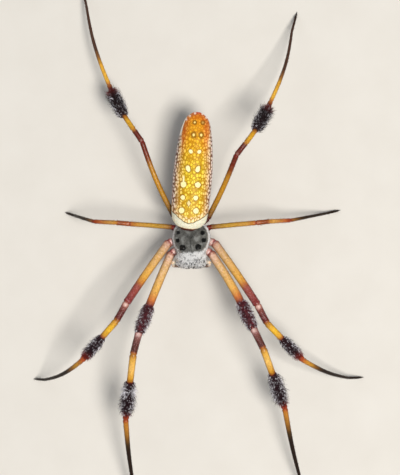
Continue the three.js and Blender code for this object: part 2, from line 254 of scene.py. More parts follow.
room = bpy.data.worlds.new("room")
room.use_nodes = True
sky = room.node_tree.nodes["Background"].inputs
sky["Color"].default_value = (0.92, 0.95, 1.0, 1)
sky["Strength"].default_value = 0.3
bpy.context.scene.world = room

camera_height = 900 * mm
framed_length = 95 * mm
aim_aside, aim_behind = 1.74 * mm, 6.0 * mm
shell_low, shell_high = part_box("carapace")
lens = bpy.data.cameras.new("camera")
lens.sensor_width = 36
lens.lens = lens.sensor_width * camera_height / framed_length
camera = put_in_scene("camera", lens)
camera.location = (
    (shell_low.x + shell_high.x) / 2 + aim_aside, shell_low.y + aim_behind, camera_height)
bpy.context.scene.camera = camera


# ---- Legs: skins ----
# Each leg is one skin from the coxa to the claws: hard, faintly see-through shell, banded
# yellow, maroon and black, pinched at each joint where the soft red joint skin shows.

def flat_end(node, way):
    """The middle of a CAD piece's flat end that faces a way: the largest face near that end,
    with all that are level with it."""
    faces = [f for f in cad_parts[node].data.polygons if f.normal.dot(way) > 0.7]
    reach = max(f.center.dot(way) for f in faces) - 0.8 * mm
    faces = [f for f in faces if f.center.dot(way) > reach]
    square = max(faces, key=lambda f: f.area).normal.copy()
    faces = [f for f in faces if f.normal.dot(square) > 0.999]
    area = sum(f.area for f in faces)
    return sum((f.center * f.area for f in faces), Vector()) / area


def centre_of(node):
    low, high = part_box(node)
    return (low + high) / 2


def section(node, point, way):
    """The middle and the radius of a CAD piece where the plane through a point cuts it."""
    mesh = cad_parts[node].data
    places = np.array([v.co for v in mesh.vertices])
    edges = np.array([e.vertices for e in mesh.edges])
    height = (places - np.array(point)) @ np.array(way)
    crossed = edges[height[edges[:, 0]] * height[edges[:, 1]] < 0]
    first, second = crossed.T
    share = (height[first] / (height[first] - height[second]))[:, None]
    outline = places[first] * (1 - share) + places[second] * share
    upright = Vector((0, 0, 1)) if abs(way.z) < 0.99 else Vector((0, 1, 0))
    aside = way.cross(upright).normalized()
    above = aside.cross(way)
    middle = point.copy()
    half = 0
    for axis in (aside, above):
        spread = (outline - np.array(point)) @ np.array(axis)
        middle += axis * (spread.max() + spread.min()) / 2
        half += (spread.max() - spread.min()) / 4
    return middle, half


# How far down its CAD piece a pair's knee lies; the shares of the tibia that no brush widens;
# and the shares of the segments that its brushes cover
pairs = {
    "leg1": {"knee": 0.23, "bare": (0.1, 0.25),
             "brush": {"femur": (0.67, 1.0), "tibia": (0.41, 0.92)}},
    "leg2": {"knee": 0.27, "bare": (0.1, 0.25), "brush": {"tibia": (0.4, 0.9)}},
    "leg3": {"knee": 0.34, "bare": (0.1, 0.25), "brush": {}},
    "leg4": {"knee": 0.185, "bare": (0.1, 0.95), "brush": {"tibia": (0.31, 0.86)}},
}
leg_names = [f"{pair}_{side}" for pair in pairs for side in ("right", "left")]
segment_names = ["coxa", "femur", "patella", "tibia", "metatarsus", "tarsus"]
leg_nodes = ("coxa", "femur", "patella_tibia", "metatarsus", "tarsus")
# The skin's share of the CAD's thickness, and of its last length; and how far from its outer
# end a coxa's root lies, in half lengths of its CAD piece
shell_share, tip_share, coxa_reach = 0.92, 0.97, 2.1


class Segment:
    """One length of a leg, read off its CAD piece: its ends, its bow and its thickness."""

    def __init__(self, node, start, end, sampled):
        self.node = node
        self.start = start
        self.end = end
        self.way = (end - start).normalized()
        low, high = (section(node, start.lerp(end, s), self.way)[1] for s in sampled)
        self.slope = (high - low) / (sampled[1] - sampled[0])
        self.base = low - self.slope * sampled[0]
        half_way = start.lerp(end, 0.5)
        self.bow = section(node, half_way, self.way)[0] - half_way

    def middle(self, share):
        return self.start.lerp(self.end, share) + self.bow * math.sin(math.pi * share)

    def bare(self, share):
        return self.base + self.slope * share

    def outline(self, share):
        return section(self.node, self.start.lerp(self.end, share), self.way)[1]


def leg_segments(leg):
    """A leg's six segments, from the CAD pieces and the gaps between them."""
    nodes = [f"{leg}_{part}" for part in leg_nodes]
    coxa, femur, knee, foot, toe = nodes
    joints = []
    for near, far in zip(nodes, nodes[1:]):
        way = (centre_of(far) - centre_of(near)).normalized()
        joints.append((flat_end(near, way) + flat_end(far, -way)) / 2)
    hip, first, ankle, last = joints
    root = hip + (centre_of(coxa) - hip) * coxa_reach
    shin = (ankle - first).normalized()
    pair = pairs[leg.split("_")[0]]
    middle_joint = section(knee, first.lerp(ankle, pair["knee"]), shin)[0]
    ends = [v.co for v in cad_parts[toe].data.vertices]
    tip = last.lerp(max(ends, key=lambda place: (place - last).length), tip_share)
    return {
        "coxa": Segment(coxa, root, hip, (0.55, 0.8)),
        "femur": Segment(femur, hip, first, (0.1, 0.3)),
        "patella": Segment(knee, first, middle_joint, (0.3, 0.7)),
        "tibia": Segment(knee, middle_joint, ankle, pair["bare"]),
        "metatarsus": Segment(foot, ankle, last, (0.1, 0.9)),
        "tarsus": Segment(toe, last, tip, (0.1, 0.7)),
    }


bones = {leg: leg_segments(leg) for leg in leg_names}

groove = {"depth": 0.2, "reach": 0.13 * mm}
collar = {"height": 0.06, "place": 0.42 * mm, "reach": 0.2 * mm}
rings_near_joint = (0.06, 0.16, 0.28, 0.42, 0.6, 0.85)
ring_spacing = 0.5 * mm


def leg_stations(leg):
    """Places along a leg: middle, half thickness and how far along in segments."""
    stations = []
    for order, segment_name in enumerate(segment_names):
        segment = bones[leg][segment_name]
        length = (segment.end - segment.start).length
        inner = [d * mm / length for d in rings_near_joint if d * mm < 0.4 * length]
        count = max(3, round(length / ring_spacing))
        even = np.linspace(inner[-1], 1 - inner[-1], count)
        shares = sorted({*inner, *(1 - s for s in inner), *even})
        for share in shares:
            distance = min(share, 1 - share) * length
            pinch = groove["depth"] * math.exp(-((distance / groove["reach"]) ** 2))
            off = (distance - collar["place"]) / collar["reach"]
            swell = collar["height"] * math.exp(-(off ** 2))
            if segment_name == "tarsus" and share > 0.5:
                pinch, swell = 0.55 * (2 * share - 1) ** 3, 0
            if segment_name == "coxa" and share < 0.5:
                pinch, swell = 0.6 * max(0, 1 - share / 0.16) ** 2, 0
            thickness = segment.bare(share) * shell_share * (1 - pinch + swell)
            stations.append((segment.middle(share), thickness, order + share))
    return stations


def ring_place(middle, way, thickness):
    """Where a ring of a tube lies: across its way, one side of it level."""
    aside = way.cross(Vector((0, 0, 1))).normalized()
    above = aside.cross(way)
    turn = Matrix((aside, above, way)).transposed().to_4x4()
    return Matrix.Translation(middle) @ turn @ Matrix.Diagonal((thickness, thickness, 1, 1))


def point_fields(shape, *names):
    """Layers for numbers that each point of a skin keeps, and one for the lie of its hair."""
    layers = shape.verts.layers
    return [layers.float.new(name) for name in names] + [layers.float_vector.new("lie")]


def tube(stations, sides):
    """A closed tube through stations, extruded ring by ring. Each point keeps how far along
    and around it lies, and which way its hair would lie."""
    shape = bmesh.new()
    along, around, lie = point_fields(shape, "along", "around")
    middles = [station[0] for station in stations]
    ways = [(b - a).normalized() for a, b in zip(middles, middles[1:])]
    ways = [ways[0], *((a + b).normalized() for a, b in zip(ways, ways[1:])), ways[-1]]
    places = [ring_place(m, w, t) for (m, t, _), w in zip(stations, ways)]
    points = bmesh.ops.create_circle(
        shape, cap_ends=True, segments=sides, radius=1, matrix=places[0])["verts"]
    rim = list(shape.edges)
    for index, (place, way, station) in enumerate(zip(places, ways, stations)):
        if index:
            grown = bmesh.ops.extrude_edge_only(shape, edges=rim)["geom"]
            points = [part for part in grown if isinstance(part, bmesh.types.BMVert)]
            rim = [e for e in grown if isinstance(e, bmesh.types.BMEdge)]
            change = place @ places[index - 1].inverted()
            bmesh.ops.transform(shape, matrix=change, verts=points)
        flat = place.inverted()
        for point in points:
            spot = flat @ point.co
            point[along] = station[2]
            point[around] = math.atan2(spot.y, spot.x) / math.tau % 1
            point[lie] = way
    bmesh.ops.contextual_create(shape, geom=rim)
    bmesh.ops.recalc_face_normals(shape, faces=shape.faces)
    return shape


pink, deep_red, umber = "#D39C90", "#7A120C", "#21160E"
# Places along a leg, a whole number at each joint, and the shell's colour there
leg_bands = {
    "leg1": [
        (0, pink), (0.8, "#E0B4AE"), (0.97, "#B4605C"), (1.02, "#8A2A24"), (1.05, "#E2B8A0"),
        (1.2, "#E2B87C"), (1.5, "#EEB85C"), (1.62, "#CE7438"), (1.68, "#6A2C34"),
        (1.97, "#6E2430"), (2.0, deep_red), (2.05, "#B4807A"), (2.18, "#A87A74"),
        (2.3, "#80504A"), (2.55, "#55281E"), (2.85, "#4A1E14"), (2.93, "#9A5426"),
        (3.0, "#B47A2C"), (3.06, "#E6B048"), (3.2, "#F4C468"), (3.36, "#D69A2A"),
        (3.42, "#7A2A12"), (3.46, "#241616"), (3.84, "#2E1818"), (3.92, "#7A2A1A"),
        (4.0, "#A03C16"), (4.05, "#C2802E"), (4.15, "#A87228"), (4.22, "#80541E"),
        (4.29, "#443016"), (4.37, umber), (6, "#140D09"),
    ],
    "leg2": [
        (0, pink), (0.8, "#E0B4AE"), (0.97, "#B4605C"), (1.02, "#8A2A24"), (1.05, "#DCAE94"),
        (1.2, "#DEB274"), (1.6, "#EAB04C"), (1.68, "#CE8838"), (1.75, "#9E4E40"),
        (1.97, "#84302E"), (2.0, deep_red), (2.05, "#BE8A78"), (2.17, "#B07868"),
        (2.27, "#84463A"), (2.5, "#5E2620"), (2.85, "#5A140E"), (2.92, "#904A24"),
        (3.0, "#B47A26"), (3.06, "#DEA83A"), (3.2, "#F2C030"), (3.34, "#D89C34"),
        (3.39, "#8E4A30"), (3.44, "#402024"), (3.76, "#4A2428"), (3.84, "#8A2A1C"),
        (3.98, "#B4542A"), (4.06, "#D09030"), (4.16, "#C28C2C"), (4.24, "#8A5A20"),
        (4.32, "#4E3418"), (4.4, umber), (6, "#1C120C"),
    ],
    "leg3": [
        (0, pink), (0.85, deep_red), (1.03, deep_red), (1.07, "#8A5A2C"), (1.2, "#B88A3A"),
        (1.4, "#C89A34"), (1.8, "#CE983E"), (1.97, "#C0702A"), (2.0, deep_red),
        (2.08, "#B25C28"), (2.5, "#9E5022"), (2.82, "#984818"), (2.9, "#B06C30"),
        (3.0, "#D0903C"), (3.1, "#E6AC54"), (3.4, "#CE8C42"), (3.66, "#C6703A"),
        (3.85, "#AC4A1E"), (4.0, "#8E2C12"), (4.05, "#9C6628"), (4.16, "#724E26"),
        (4.26, "#463016"), (4.4, "#302418"), (6, "#1C130E"),
    ],
    "leg4": [
        (0, pink), (0.85, "#54100A"), (1.03, "#500E0A"), (1.08, "#80581E"), (1.25, "#B2801C"),
        (1.5, "#C48C20"), (1.68, "#BA8220"), (1.78, "#844010"), (1.86, "#74260C"),
        (1.97, "#6A200A"), (2.0, deep_red), (2.08, "#6E260E"), (2.5, "#641C0E"),
        (2.82, "#66240E"), (2.9, "#A0622A"), (3.0, "#C88C2C"), (3.08, "#EAB028"),
        (3.2, "#E4AC22"), (3.28, "#B06A18"), (3.34, "#241412"), (3.7, "#2A1412"),
        (3.8, "#4A1A12"), (3.9, "#742414"), (4.0, "#C07A3A"), (4.06, "#F2BC44"),
        (4.24, "#E6AC3A"), (4.34, "#8E5E30"), (4.44, "#54382A"), (6, "#241812"),
    ],
}


def band_colour(finish, pair):
    """The banding of a pair of legs, from how far along a point lies."""
    stops = [(place / 6, colour) for place, colour in leg_bands[pair]]
    where = finish.place()
    wander = finish.noise(where, 0.6 * mm) - 0.5
    return finish.ramp((finish.field("along") + 0.05 * wander) / 6, stops)


def leg_shell(pair):
    """Banded shell with painted shade down its sides and a painted highlight on its top,
    strongest near the body, over pale streaks, and on the knee.
    """
    front_two_pairs = pair in ("leg1", "leg2")
    shell = Finish(f"{pair}_shell", {
        "Specular IOR Level": 0.12, "Coat Weight": 0.22, "Coat Roughness": 0.14,
        "Subsurface Weight": 0.12, "Subsurface Radius": (1.0, 0.4, 0.2),
        "Subsurface Scale": 0.35 * mm,
    })
    where = shell.place()
    mottle = shell.noise(where, 0.35 * mm, 4)
    streaks = shell.noise(where, 0.4 * mm, 4)
    pores = shell.noise(where, 0.06 * mm, 2)
    along = shell.field("along")
    colour = shell.blend(0.22 * mottle.step(0.35, 0.7), band_colour(shell, pair), "#3A1608")
    off_top = abs(shell.field("around") - 0.25)
    # Painted shade: the shell darkens down both sides of the leg, away from its top.
    colour = shell.blend(0.75 * off_top.step(0.08, 0.26), colour, "#8A6448", "MULTIPLY")
    # Painted highlight along the top of the leg, stronger on the front two pairs: over pale
    # streaks near the body, which are partly pale down, on the knee, and faintly from the body to
    # the tibia.
    top = off_top.step(0.13, 0.03)
    in_streaks = streaks.step(0.42, 0.6)
    near_body = (0.22 * along.step(1.5, 1.2) + 0.5 * along.step(0.99, 0.9)) * in_streaks
    knee_highlight = 0.45 * along.step(2.03, 2.07) * along.step(2.28, 2.14)
    streaks_and_highlight = top * ((near_body + knee_highlight) * (1 if front_two_pairs else 0.25) + 0.03 * in_streaks)
    colour = shell.blend(streaks_and_highlight * along.step(3.4, 3.2), colour, "#FBE4DC")
    if front_two_pairs:
        specks = shell.noise(where, 0.2 * mm, 2).step(0.54, 0.66)
        round_knee = along.step(1.68, 1.8) * along.step(2.95, 2.8)
        colour = shell.blend(0.42 * specks * round_knee, colour, "#D29AA2")
    return shell.finish(colour, 0.3 + 0.25 * mottle, mottle + 0.5 * pores, 0.02 * mm)


leg_sides = 16
leg_shells = {pair: leg_shell(pair) for pair in pairs}
leg_skins = {}
for leg in leg_names:
    shell = leg_shells[leg.split("_")[0]]
    skin = piece_from(tube(leg_stations(leg), leg_sides), f"{leg}_skin", shell)
    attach(skin, "root")
    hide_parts(*(f"{leg}_{part}" for part in leg_nodes))
    leg_skins[leg] = skin


# ---- Legs: hair ----
# Short stiff hair lies along every segment, and dense brushes stand round the ends of the
# femora of the first legs and the tibiae of all but the third, out to the leg's true outline.

def triangles_in_order(mesh, points):
    """A skin's triangles in order of place. The operators that make a skin leave its faces in a
    new order each run, and its hair would move with them."""
    rank = np.argsort(np.lexsort(points.T))
    triangles = []
    for face in mesh.polygons:
        ring = list(face.vertices)
        first = int(np.argmin(rank[ring]))
        ring = ring[first:] + ring[:first]
        triangles += [(ring[0], *others) for others in zip(ring[1:], ring[2:])]
    corners = np.array(triangles)
    return corners[np.lexsort(rank[corners].T)]


def scatter(skin, count, dice, lengths=1):
    """Even random places on a skin, with what the skin says there. "unwrap" is how far along
    the whole skin of so many lengths a place lies."""
    mesh = skin.data
    points = np.array([v.co for v in mesh.vertices])
    corners = triangles_in_order(mesh, points)

    def read(name, kind, width):
        values = np.zeros(len(mesh.vertices) * width)
        mesh.attributes[name].data.foreach_get(kind, values)
        return values.reshape(-1, width)[corners]

    places = points[corners]
    normals = np.array([n.vector for n in mesh.vertex_normals])[corners]
    span = np.cross(places[:, 1] - places[:, 0], places[:, 2] - places[:, 0])
    area = np.linalg.norm(span, axis=1)
    chosen = dice.choice(len(area), count, p=area / area.sum())
    turns = read("around", "value", 1)
    turns += (np.ptp(turns, axis=1, keepdims=True) > 0.5) & (turns < 0.5)
    weights = dice.dirichlet((1, 1, 1), count)[:, :, None]

    def mixed(values):
        return (values[chosen] * weights).sum(1)

    out = mixed(normals)
    along = mixed(read("along", "value", 1))[:, 0]
    return {
        "root": mixed(places),
        "out": out / np.linalg.norm(out, axis=1, keepdims=True),
        "lie": mixed(read("lie", "vector", 3)),
        "along": along,
        "around": mixed(turns)[:, 0] % 1,
        "unwrap": np.clip(along / lengths, 0, 1),
    }


# A tuft is a three-sided spike of seven points: three at its root, below the skin, three at
# its bend, and its tip. Its patch is a share of the map; the other shares are of its own size.
patch = 0.003
root_depth = 0.03 * mm
tuft_lengths, tuft_rises = (0.75, 1.0), (0.8, 1.15)
bend_width, ridge_height = 0.75, 0.8
tuft_faces = np.array([
    (0, 2, 1), (0, 1, 4), (0, 4, 3), (1, 2, 5), (1, 5, 4), (2, 0, 3), (2, 3, 5),
    (3, 4, 6), (4, 5, 6), (5, 3, 6),
])
tuft_patch = np.array([
    (0, 0), (0.5, 0), (1, 0), (0, 0.5), (0.5, 0.5), (1, 0.5), (0.5, 1),
])


def unit(vectors):
    return vectors / np.maximum(np.linalg.norm(vectors, axis=1, keepdims=True), 1e-12)


def coat(name, spots, dice, finish, length, width, lift, spread=0.25):
    """Tufts as one mesh: thin three-sided spikes that leave the skin at lift[0] degrees and
    bend over to lift[1]. Each has its patch of the map at its root's place on the skin."""
    count = len(spots["root"])
    out = spots["out"]
    lie = unit(spots["lie"] - (spots["lie"] * out).sum(1, keepdims=True) * out)
    across = unit(np.cross(out, lie))
    lie = unit(lie + across * dice.normal(0, spread, (count, 1)))
    across = unit(np.cross(out, lie))
    length = np.broadcast_to(length, count) * dice.uniform(*tuft_lengths, count)
    rise = np.radians(np.broadcast_to(np.array(lift, float).T, (count, 2)))
    rise = rise * dice.uniform(*tuft_rises, (count, 1))
    starts, ends = (np.cos(a)[:, None] * lie + np.sin(a)[:, None] * out for a in rise.T)
    root = spots["root"] - out * root_depth
    knee = root + starts * (length * 0.5)[:, None]
    tip = knee + ends * (length * 0.5)[:, None]
    half = np.broadcast_to(width, count)[:, None] / 2
    corners = [-across * half, across * half, out * half * ridge_height]
    base = [root + corner for corner in corners]
    bend = [knee + corner * bend_width for corner in corners]
    places = np.stack([*base, *bend, tip], 1)
    places[..., 2] = np.maximum(places[..., 2], 0)

    faces = (tuft_faces[None] + 7 * np.arange(count)[:, None, None]).reshape(-1, 3)
    mesh = bpy.data.meshes.new(name)
    mesh.from_pydata(places.reshape(-1, 3), [], faces)
    home = np.stack([spots["around"], spots["unwrap"]], 1) * (1 - patch)
    spread_out = home[:, None] + patch * tuft_patch[None]
    bake = mesh.uv_layers.new(name="OFBake")
    bake.data.foreach_set("uv", spread_out.reshape(-1, 2)[faces.ravel()].ravel())
    shade = dice.random(count)
    reach = np.tile((0, 0, 0, 0.5, 0.5, 0.5, 1.0), count)
    fields = {"along": np.repeat(spots["along"], 7), "around": np.repeat(spots["around"], 7),
              "shade": np.repeat(shade, 7), "reach": reach}
    for label, values in fields.items():
        mesh.attributes.new(label, "FLOAT", "POINT").data.foreach_set("value", values)
    piece = smooth_piece(name, mesh, finish)
    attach(piece, "root")
    return piece


def kept(spots, chosen):
    return {label: values[chosen] for label, values in spots.items()}


# How silvery a pair's brushes are, and the colours of the roots and the tips of their dark hair
brush_tones = {
    "leg1": (-0.05, "#3A1822", "#1E0E16"),
    "leg2": (-0.06, "#3A1822", "#1E0E16"),
    "leg4": (-0.09, "#2E121A", "#1A0C10"),
}


def brush_hair(pair):
    """Black hair with a purple root; in clumps it ends in silver, with more silver along the sides
    as a painted rim light.
    """
    silvery, root_colour, tip_colour = brush_tones[pair]
    hair = Finish(f"{pair}_brush_hair", {"Specular IOR Level": 0.3})
    shade = hair.field("shade")
    along = hair.field("along")
    reach = hair.field("reach")
    side = abs(hair.math("COSINE", hair.field("around") * math.tau))
    where = hair.place()
    # Painted rim light: silver tips gather along the sides of the leg more than on its top and
    # underside.
    clumps = hair.noise(where, 0.4 * mm, 2) + 0.19 * (side - 0.5)
    clumps = clumps + 0.24 * (shade - 0.5) + silvery
    if pair == "leg1":
        on_right = hair.axes(where)[0].step(0, -mm)
        clumps = clumps + 0.17 * abs(along - 3.52).step(0.08, 0.02) * on_right
    end = max(last for _, last in pairs[pair]["brush"].values()) + 3
    root = hair.blend(along.step(2.0, 1.9), root_colour, "#7A2C3A")
    colour = hair.layers(
        root,
        (reach.step(0.1, 0.9), tip_colour),
        (clumps.step(0.54, 0.59) * reach.step(0.1, 0.5), "#F2F0F8"),
        (0.75 * along.step(end - 0.2, end - 0.03), "#8A241A"))
    return hair.finish(colour, 0.42 + 0.2 * shade, reach, 0.01 * mm)


def short_hair(pair):
    hair = Finish(f"{pair}_short_hair", {"Specular IOR Level": 0.2})
    shade = hair.field("shade")
    colour = hair.blend(0.35 + 0.5 * shade, band_colour(hair, pair), "#1C100C")
    return hair.finish(colour, 0.45 + 0.2 * shade, shade, 0.01 * mm)


places_on_leg, most_in_brush = 30000, 4200
brush_lift, brush_past_outline = 42.0, 0.22 * mm
brush_lengths, length_odds = (0.55, 0.8, 1.05, 1.3), (0.45, 0.3, 0.18, 0.07)
short_hair_share, bristle_share = 0.22, 0.03
brush_hairs = {pair: brush_hair(pair) for pair in brush_tones}
short_hairs = {pair: short_hair(pair) for pair in pairs}
for leg in leg_names:
    pair = leg.split("_")[0]
    dice = np.random.default_rng(100 + leg_names.index(leg))
    spots = scatter(leg_skins[leg], places_on_leg, dice, len(segment_names))
    order = np.clip(spots["along"].astype(int), 0, 5)
    share = spots["along"] - order
    in_brush = np.zeros(len(order), bool)
    depth = np.zeros(len(order))
    for segment_name, (start, end) in pairs[pair]["brush"].items():
        segment = bones[leg][segment_name]
        steps = np.linspace(0.02, 0.98, 33)
        outline = np.array([segment.outline(step) for step in steps])
        bare = np.array([segment.bare(step) * shell_share for step in steps])
        here = order == segment_names.index(segment_name)
        depth[here] = np.interp(share[here], steps, outline - bare)
        in_brush |= here & (share > start) & (share < end)
    thick = dice.random(len(order)) < 0.45 + 0.5 * np.abs(np.cos(spots["around"] * math.tau))
    chosen = np.flatnonzero(in_brush & thick)[:most_in_brush]
    if len(chosen):
        full = (depth[chosen] + brush_past_outline) / math.sin(math.radians(brush_lift - 4))
        long = full * dice.choice(brush_lengths, len(full), p=length_odds)
        wide = dice.uniform(0.07, 0.13, len(full)) * mm
        brush = coat(f"{leg}_brush", kept(spots, chosen), dice, brush_hairs[pair], long, wide,
                     lift=(brush_lift + 6, brush_lift - 12), spread=0.5)
    bare_spots = np.flatnonzero(~in_brush & (spots["along"] > 0.55))
    chosen = bare_spots[dice.random(len(bare_spots)) < short_hair_share]
    foot = spots["along"][chosen] > segment_names.index("metatarsus")
    bristle = dice.random(len(chosen)) < bristle_share
    long = np.where(bristle, 0.75, np.where(foot, 0.3, 0.26)) * mm
    wide = np.where(bristle, 0.045, 0.022) * mm
    hair = coat(f"{leg}_hair", kept(spots, chosen), dice, short_hairs[pair], long, wide,
                lift=(34, 14))


# ---- Carapace: shell ----
# The lid of the head and thorax, one hard dark plate. The head stands up in front of a groove,
# with two small horns behind it and a dimple in the middle where the stomach muscles hold.

def surface_of(node):
    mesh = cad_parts[node].data
    return BVHTree.FromPolygons([v.co for v in mesh.vertices], [f.vertices for f in mesh.polygons])


def wrapped(node, start, end, sides, rings, depth, passes):
    """A skin drawn over a CAD piece: a sphere's points are cast out onto the piece from the
    line between two ends, then smoothed and drawn in by the depth of the coat."""
    solid = surface_of(node)
    turn = (end - start).to_track_quat("Z", "Y")
    shape = bmesh.new()
    bmesh.ops.create_uvsphere(shape, u_segments=sides, v_segments=rings, radius=1)
    for point in shape.verts:
        spoke = turn @ Vector((point.co.x, point.co.y, 0))
        heart = start.lerp(end, (1 + point.co.z) / 2)
        if spoke.length > 1e-4:
            point.co = solid.ray_cast(heart, spoke)[0] or heart
        else:
            point.co = heart
    every_way = {"use_axis_x": True, "use_axis_y": True, "use_axis_z": True}
    for _ in range(passes):
        bmesh.ops.smooth_vert(shape, verts=shape.verts, factor=0.5, **every_way)
    bmesh.ops.recalc_face_normals(shape, faces=shape.faces)
    shape.normal_update()
    for point in shape.verts:
        point.co -= point.normal * depth
    return shape


def note_places(shape, start, end, lie_at):
    """Keeps how far along and around each point of a skin lies, and its hair's lie there."""
    along, around, lie = point_fields(shape, "along", "around")
    way = end - start
    for point in shape.verts:
        off = point.co - start
        above = point.co.z - start.z - off.dot(way) * way.z / way.length_squared
        point[along] = off.dot(way) / way.length_squared
        point[around] = 0.5 + math.atan2(off.cross(way).z / -way.length, above) / math.tau
        point[lie] = lie_at(point.co)


def bump_out(shape, height_at):
    """Moves each point of a skin along its normal by a height in millimetres."""
    shape.normal_update()
    for point in shape.verts:
        point.co += point.normal * height_at(point.co, point.normal) * mm


def hill(distance, reach):
    return math.exp(-((distance / reach) ** 2))


def off_line(x, y, start, end):
    """How far a point lies from a straight line between two points."""
    line = Vector(end) - Vector(start)
    off = Vector((x, y)) - Vector(start)
    share = min(max(off.dot(line) / line.length_squared, 0), 1)
    return (off - line * share).length


def end_middles(node, inset):
    """The middles of a CAD piece's front and back ends, cut across a little way in."""
    low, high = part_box(node)
    inwards, back = Vector((0, inset, 0)), Vector((0, 1, 0))
    return section(node, low + inwards, back)[0], section(node, high - inwards, back)[0]


# Places on the carapace, in mm aside of and behind its middle: then a spot's radius, and a
# furrow's other end, its depth and its half width
shell_middle = Vector(((shell_low.x + shell_high.x) / 2, shell_low.y + 5.3 * mm, 0))
muscle_dimple = (0, 0.95)
horns = ((-1.62, -1.35), (1.42, -1.2))
bald_spots = ((-2.61, 1.7, 0.38), (2.28, 1.64, 0.42), (-2.71, 0.08, 0.38), (2.48, 0.18, 0.44),
              (-1.7, -1.32, 0.6), (1.4, -1.15, 0.58))
furrows = (
    ((0.35, 0.6), (2.9, -1.75), 0.12, 0.16), ((0.6, 0.95), (3.1, 0.35), 0.05, 0.2),
    ((0.6, 1.1), (2.9, 1.85), 0.05, 0.2), ((0.35, 1.3), (1.6, 2.9), 0.05, 0.2),
)


def over_shell(place):
    """A place on the carapace, in millimetres aside of and behind its middle."""
    off = (place - shell_middle) / mm
    return off.x, off.y


def ball_in(node):
    """The middle and radius of the ball that a CAD piece is a part of."""
    places = np.array([v.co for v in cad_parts[node].data.vertices])
    rows = np.hstack([2 * places, np.ones((len(places), 1))])
    fit = np.linalg.lstsq(rows, (places ** 2).sum(1), rcond=None)[0]
    return Vector(fit[:3]), math.sqrt(fit[3] + fit[:3] @ fit[:3])


eye_nodes = [f"eye_{row}_{kind}_{side}" for row in ("front", "back")
             for kind in ("median", "lateral") for side in ("right", "left")]
eye_balls = {node: ball_in(node) for node in eye_nodes}
coat_depth = 0.04 * mm
horn_height = horn_radius = 0.34


def shell_relief(place, normal):
    x, y = over_shell(place)
    height = 0
    for middle, radius in eye_balls.values():
        height += 0.13 * hill((place - middle).length, 1.7 * radius)
    if normal.z > 0:
        dimple_x, dimple_y = muscle_dimple
        height -= 0.24 * hill(math.hypot((x - dimple_x) / 2.2, y - dimple_y), 0.22)
        for start, end, depth, reach in furrows:
            height -= depth * hill(off_line(abs(x), y, start, end), reach)
        for horn_x, horn_y in horns:
            inside = max(0, 1 - math.hypot(x - horn_x, y - horn_y) / horn_radius)
            height += horn_height * inside ** 1.4
    return height


def shell_lie(place):
    """Hair lies forwards on the head and away from the dimple behind it."""
    x, y = over_shell(place)
    on_head = min(max((-1.2 - y) / 1.2, 0), 1)
    forward = Vector((0.25 * x, -1, -0.3 * on_head))
    outward = Vector((x, y - muscle_dimple[1], -0.5))
    return forward * on_head + outward.normalized() * (1 - on_head)


ends = end_middles("carapace", 0.02 * mm)
shape = wrapped("carapace", *ends, sides=144, rings=110, depth=coat_depth, passes=10)
bump_out(shape, shell_relief)
note_places(shape, *ends, shell_lie)


def spots_on(x, y, spots, soften):
    """1 inside each of a list of round spots (aside, behind, radius), 0 outside."""
    mask = 0
    for aside, behind, radius in spots:
        far = ((abs(x - aside) ** 3 + abs(y - behind) ** 3) ** (1 / 3)) / radius
        mask = far.step(1 + soften, 1 - soften).most(mask)
    return mask


def shell_places(finish):
    """Millimetres aside of and behind the carapace's middle, and above the floor."""
    where = finish.node("ShaderNodeMapping", {"vector_type": "POINT"}, {
        "Vector": finish.place(), "Location": tuple(-shell_middle / mm),
        "Scale": (1 / mm, 1 / mm, 1 / mm)})
    return finish.axes(where)


def shell_colour(finish):
    """Grey down with bald black spots, whiter on the head and the rim; the rim is painted brighter
    on the +x side as a painted highlight.
    """
    where = finish.place()
    x, y, z = shell_places(finish)
    ragged = finish.noise(where, 0.4 * mm, 4) - 0.5
    cloudy = finish.noise(where, 0.9 * mm, 5)
    fine = finish.noise(where, 0.07 * mm, 3)
    down = finish.blend(fine.step(0.3, 0.7), "#363633", "#787874")
    head = (y - 0.14 * x + 0.8 * ragged).step(-2.2, -2.5)
    white = finish.blend(fine.step(0.32, 0.62), "#5A5C66", "#D9DBE2")
    rim = (((x / 3.7) ** 2 + ((y - 0.7) / 3.9) ** 2) ** 0.5 + 0.12 * ragged).step(0.84, 0.95)
    # Painted highlight: the pale rim is brighter on the +x side than on the -x side.
    rim = rim * y.step(3.4, 1.8) * (0.3 + 0.65 * x.step(-1, 1))
    smudge = spots_on(x + 0.5 * ragged, y, ((-0.72, 1.0, 0.42), (0.14, 0.86, 0.42)), 0.7)
    line = abs(x + 0.15 + 0.2 * ragged).step(0.3, 0.05) * y.step(-1.5, -1.0) * y.step(0.35, 0.1)
    bare = spots_on(x + 0.5 * ragged, y + 0.5 * ragged, bald_spots, 0.15)
    face = (z + 0.3 * ragged).step(10.5, 10.1) * y.step(-2.6, -3.4)
    below = (z + 0.3 * ragged).step(8.5, 8.1)
    return finish.layers(
        down,
        (0.5 * cloudy.step(0.5, 0.66), "#9C9E9C"), (0.6 * cloudy.step(0.5, 0.36), "#282723"),
        (head, white), (rim, "#E2DCD4"), (0.8 * smudge.most(line), "#232422"),
        (bare, "#080807"), (face.most(below), "#2A1C18")), bare


def shell_finish():
    shell = Finish("carapace_shell", {"Specular IOR Level": 0.25})
    colour, bare = shell_colour(shell)
    fine = shell.noise(shell.place(), 0.07 * mm, 3)
    return shell.finish(colour, 0.62 - 0.34 * bare, fine * (1 - 0.8 * bare), 0.03 * mm)


carapace = piece_from(shape, "carapace_shell", shell_finish())
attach(carapace, "root")
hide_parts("carapace")


# ---- Carapace: hair ----
# Short silver down lies flat over the thorax and leaves its black spots bare. On the head it
# grows to a rough white fur with dark hairs in it, parted round the eyes.

def down_finish(name):
    down = Finish(name, {"Specular IOR Level": 0.25})
    shade = down.field("shade")
    colour, bare = shell_colour(down)
    colour = down.blend(0.35 * shade * (1 - bare), colour, "#B4B4B0")
    return down.finish(colour, 0.4 + 0.25 * shade, shade, 0.01 * mm)


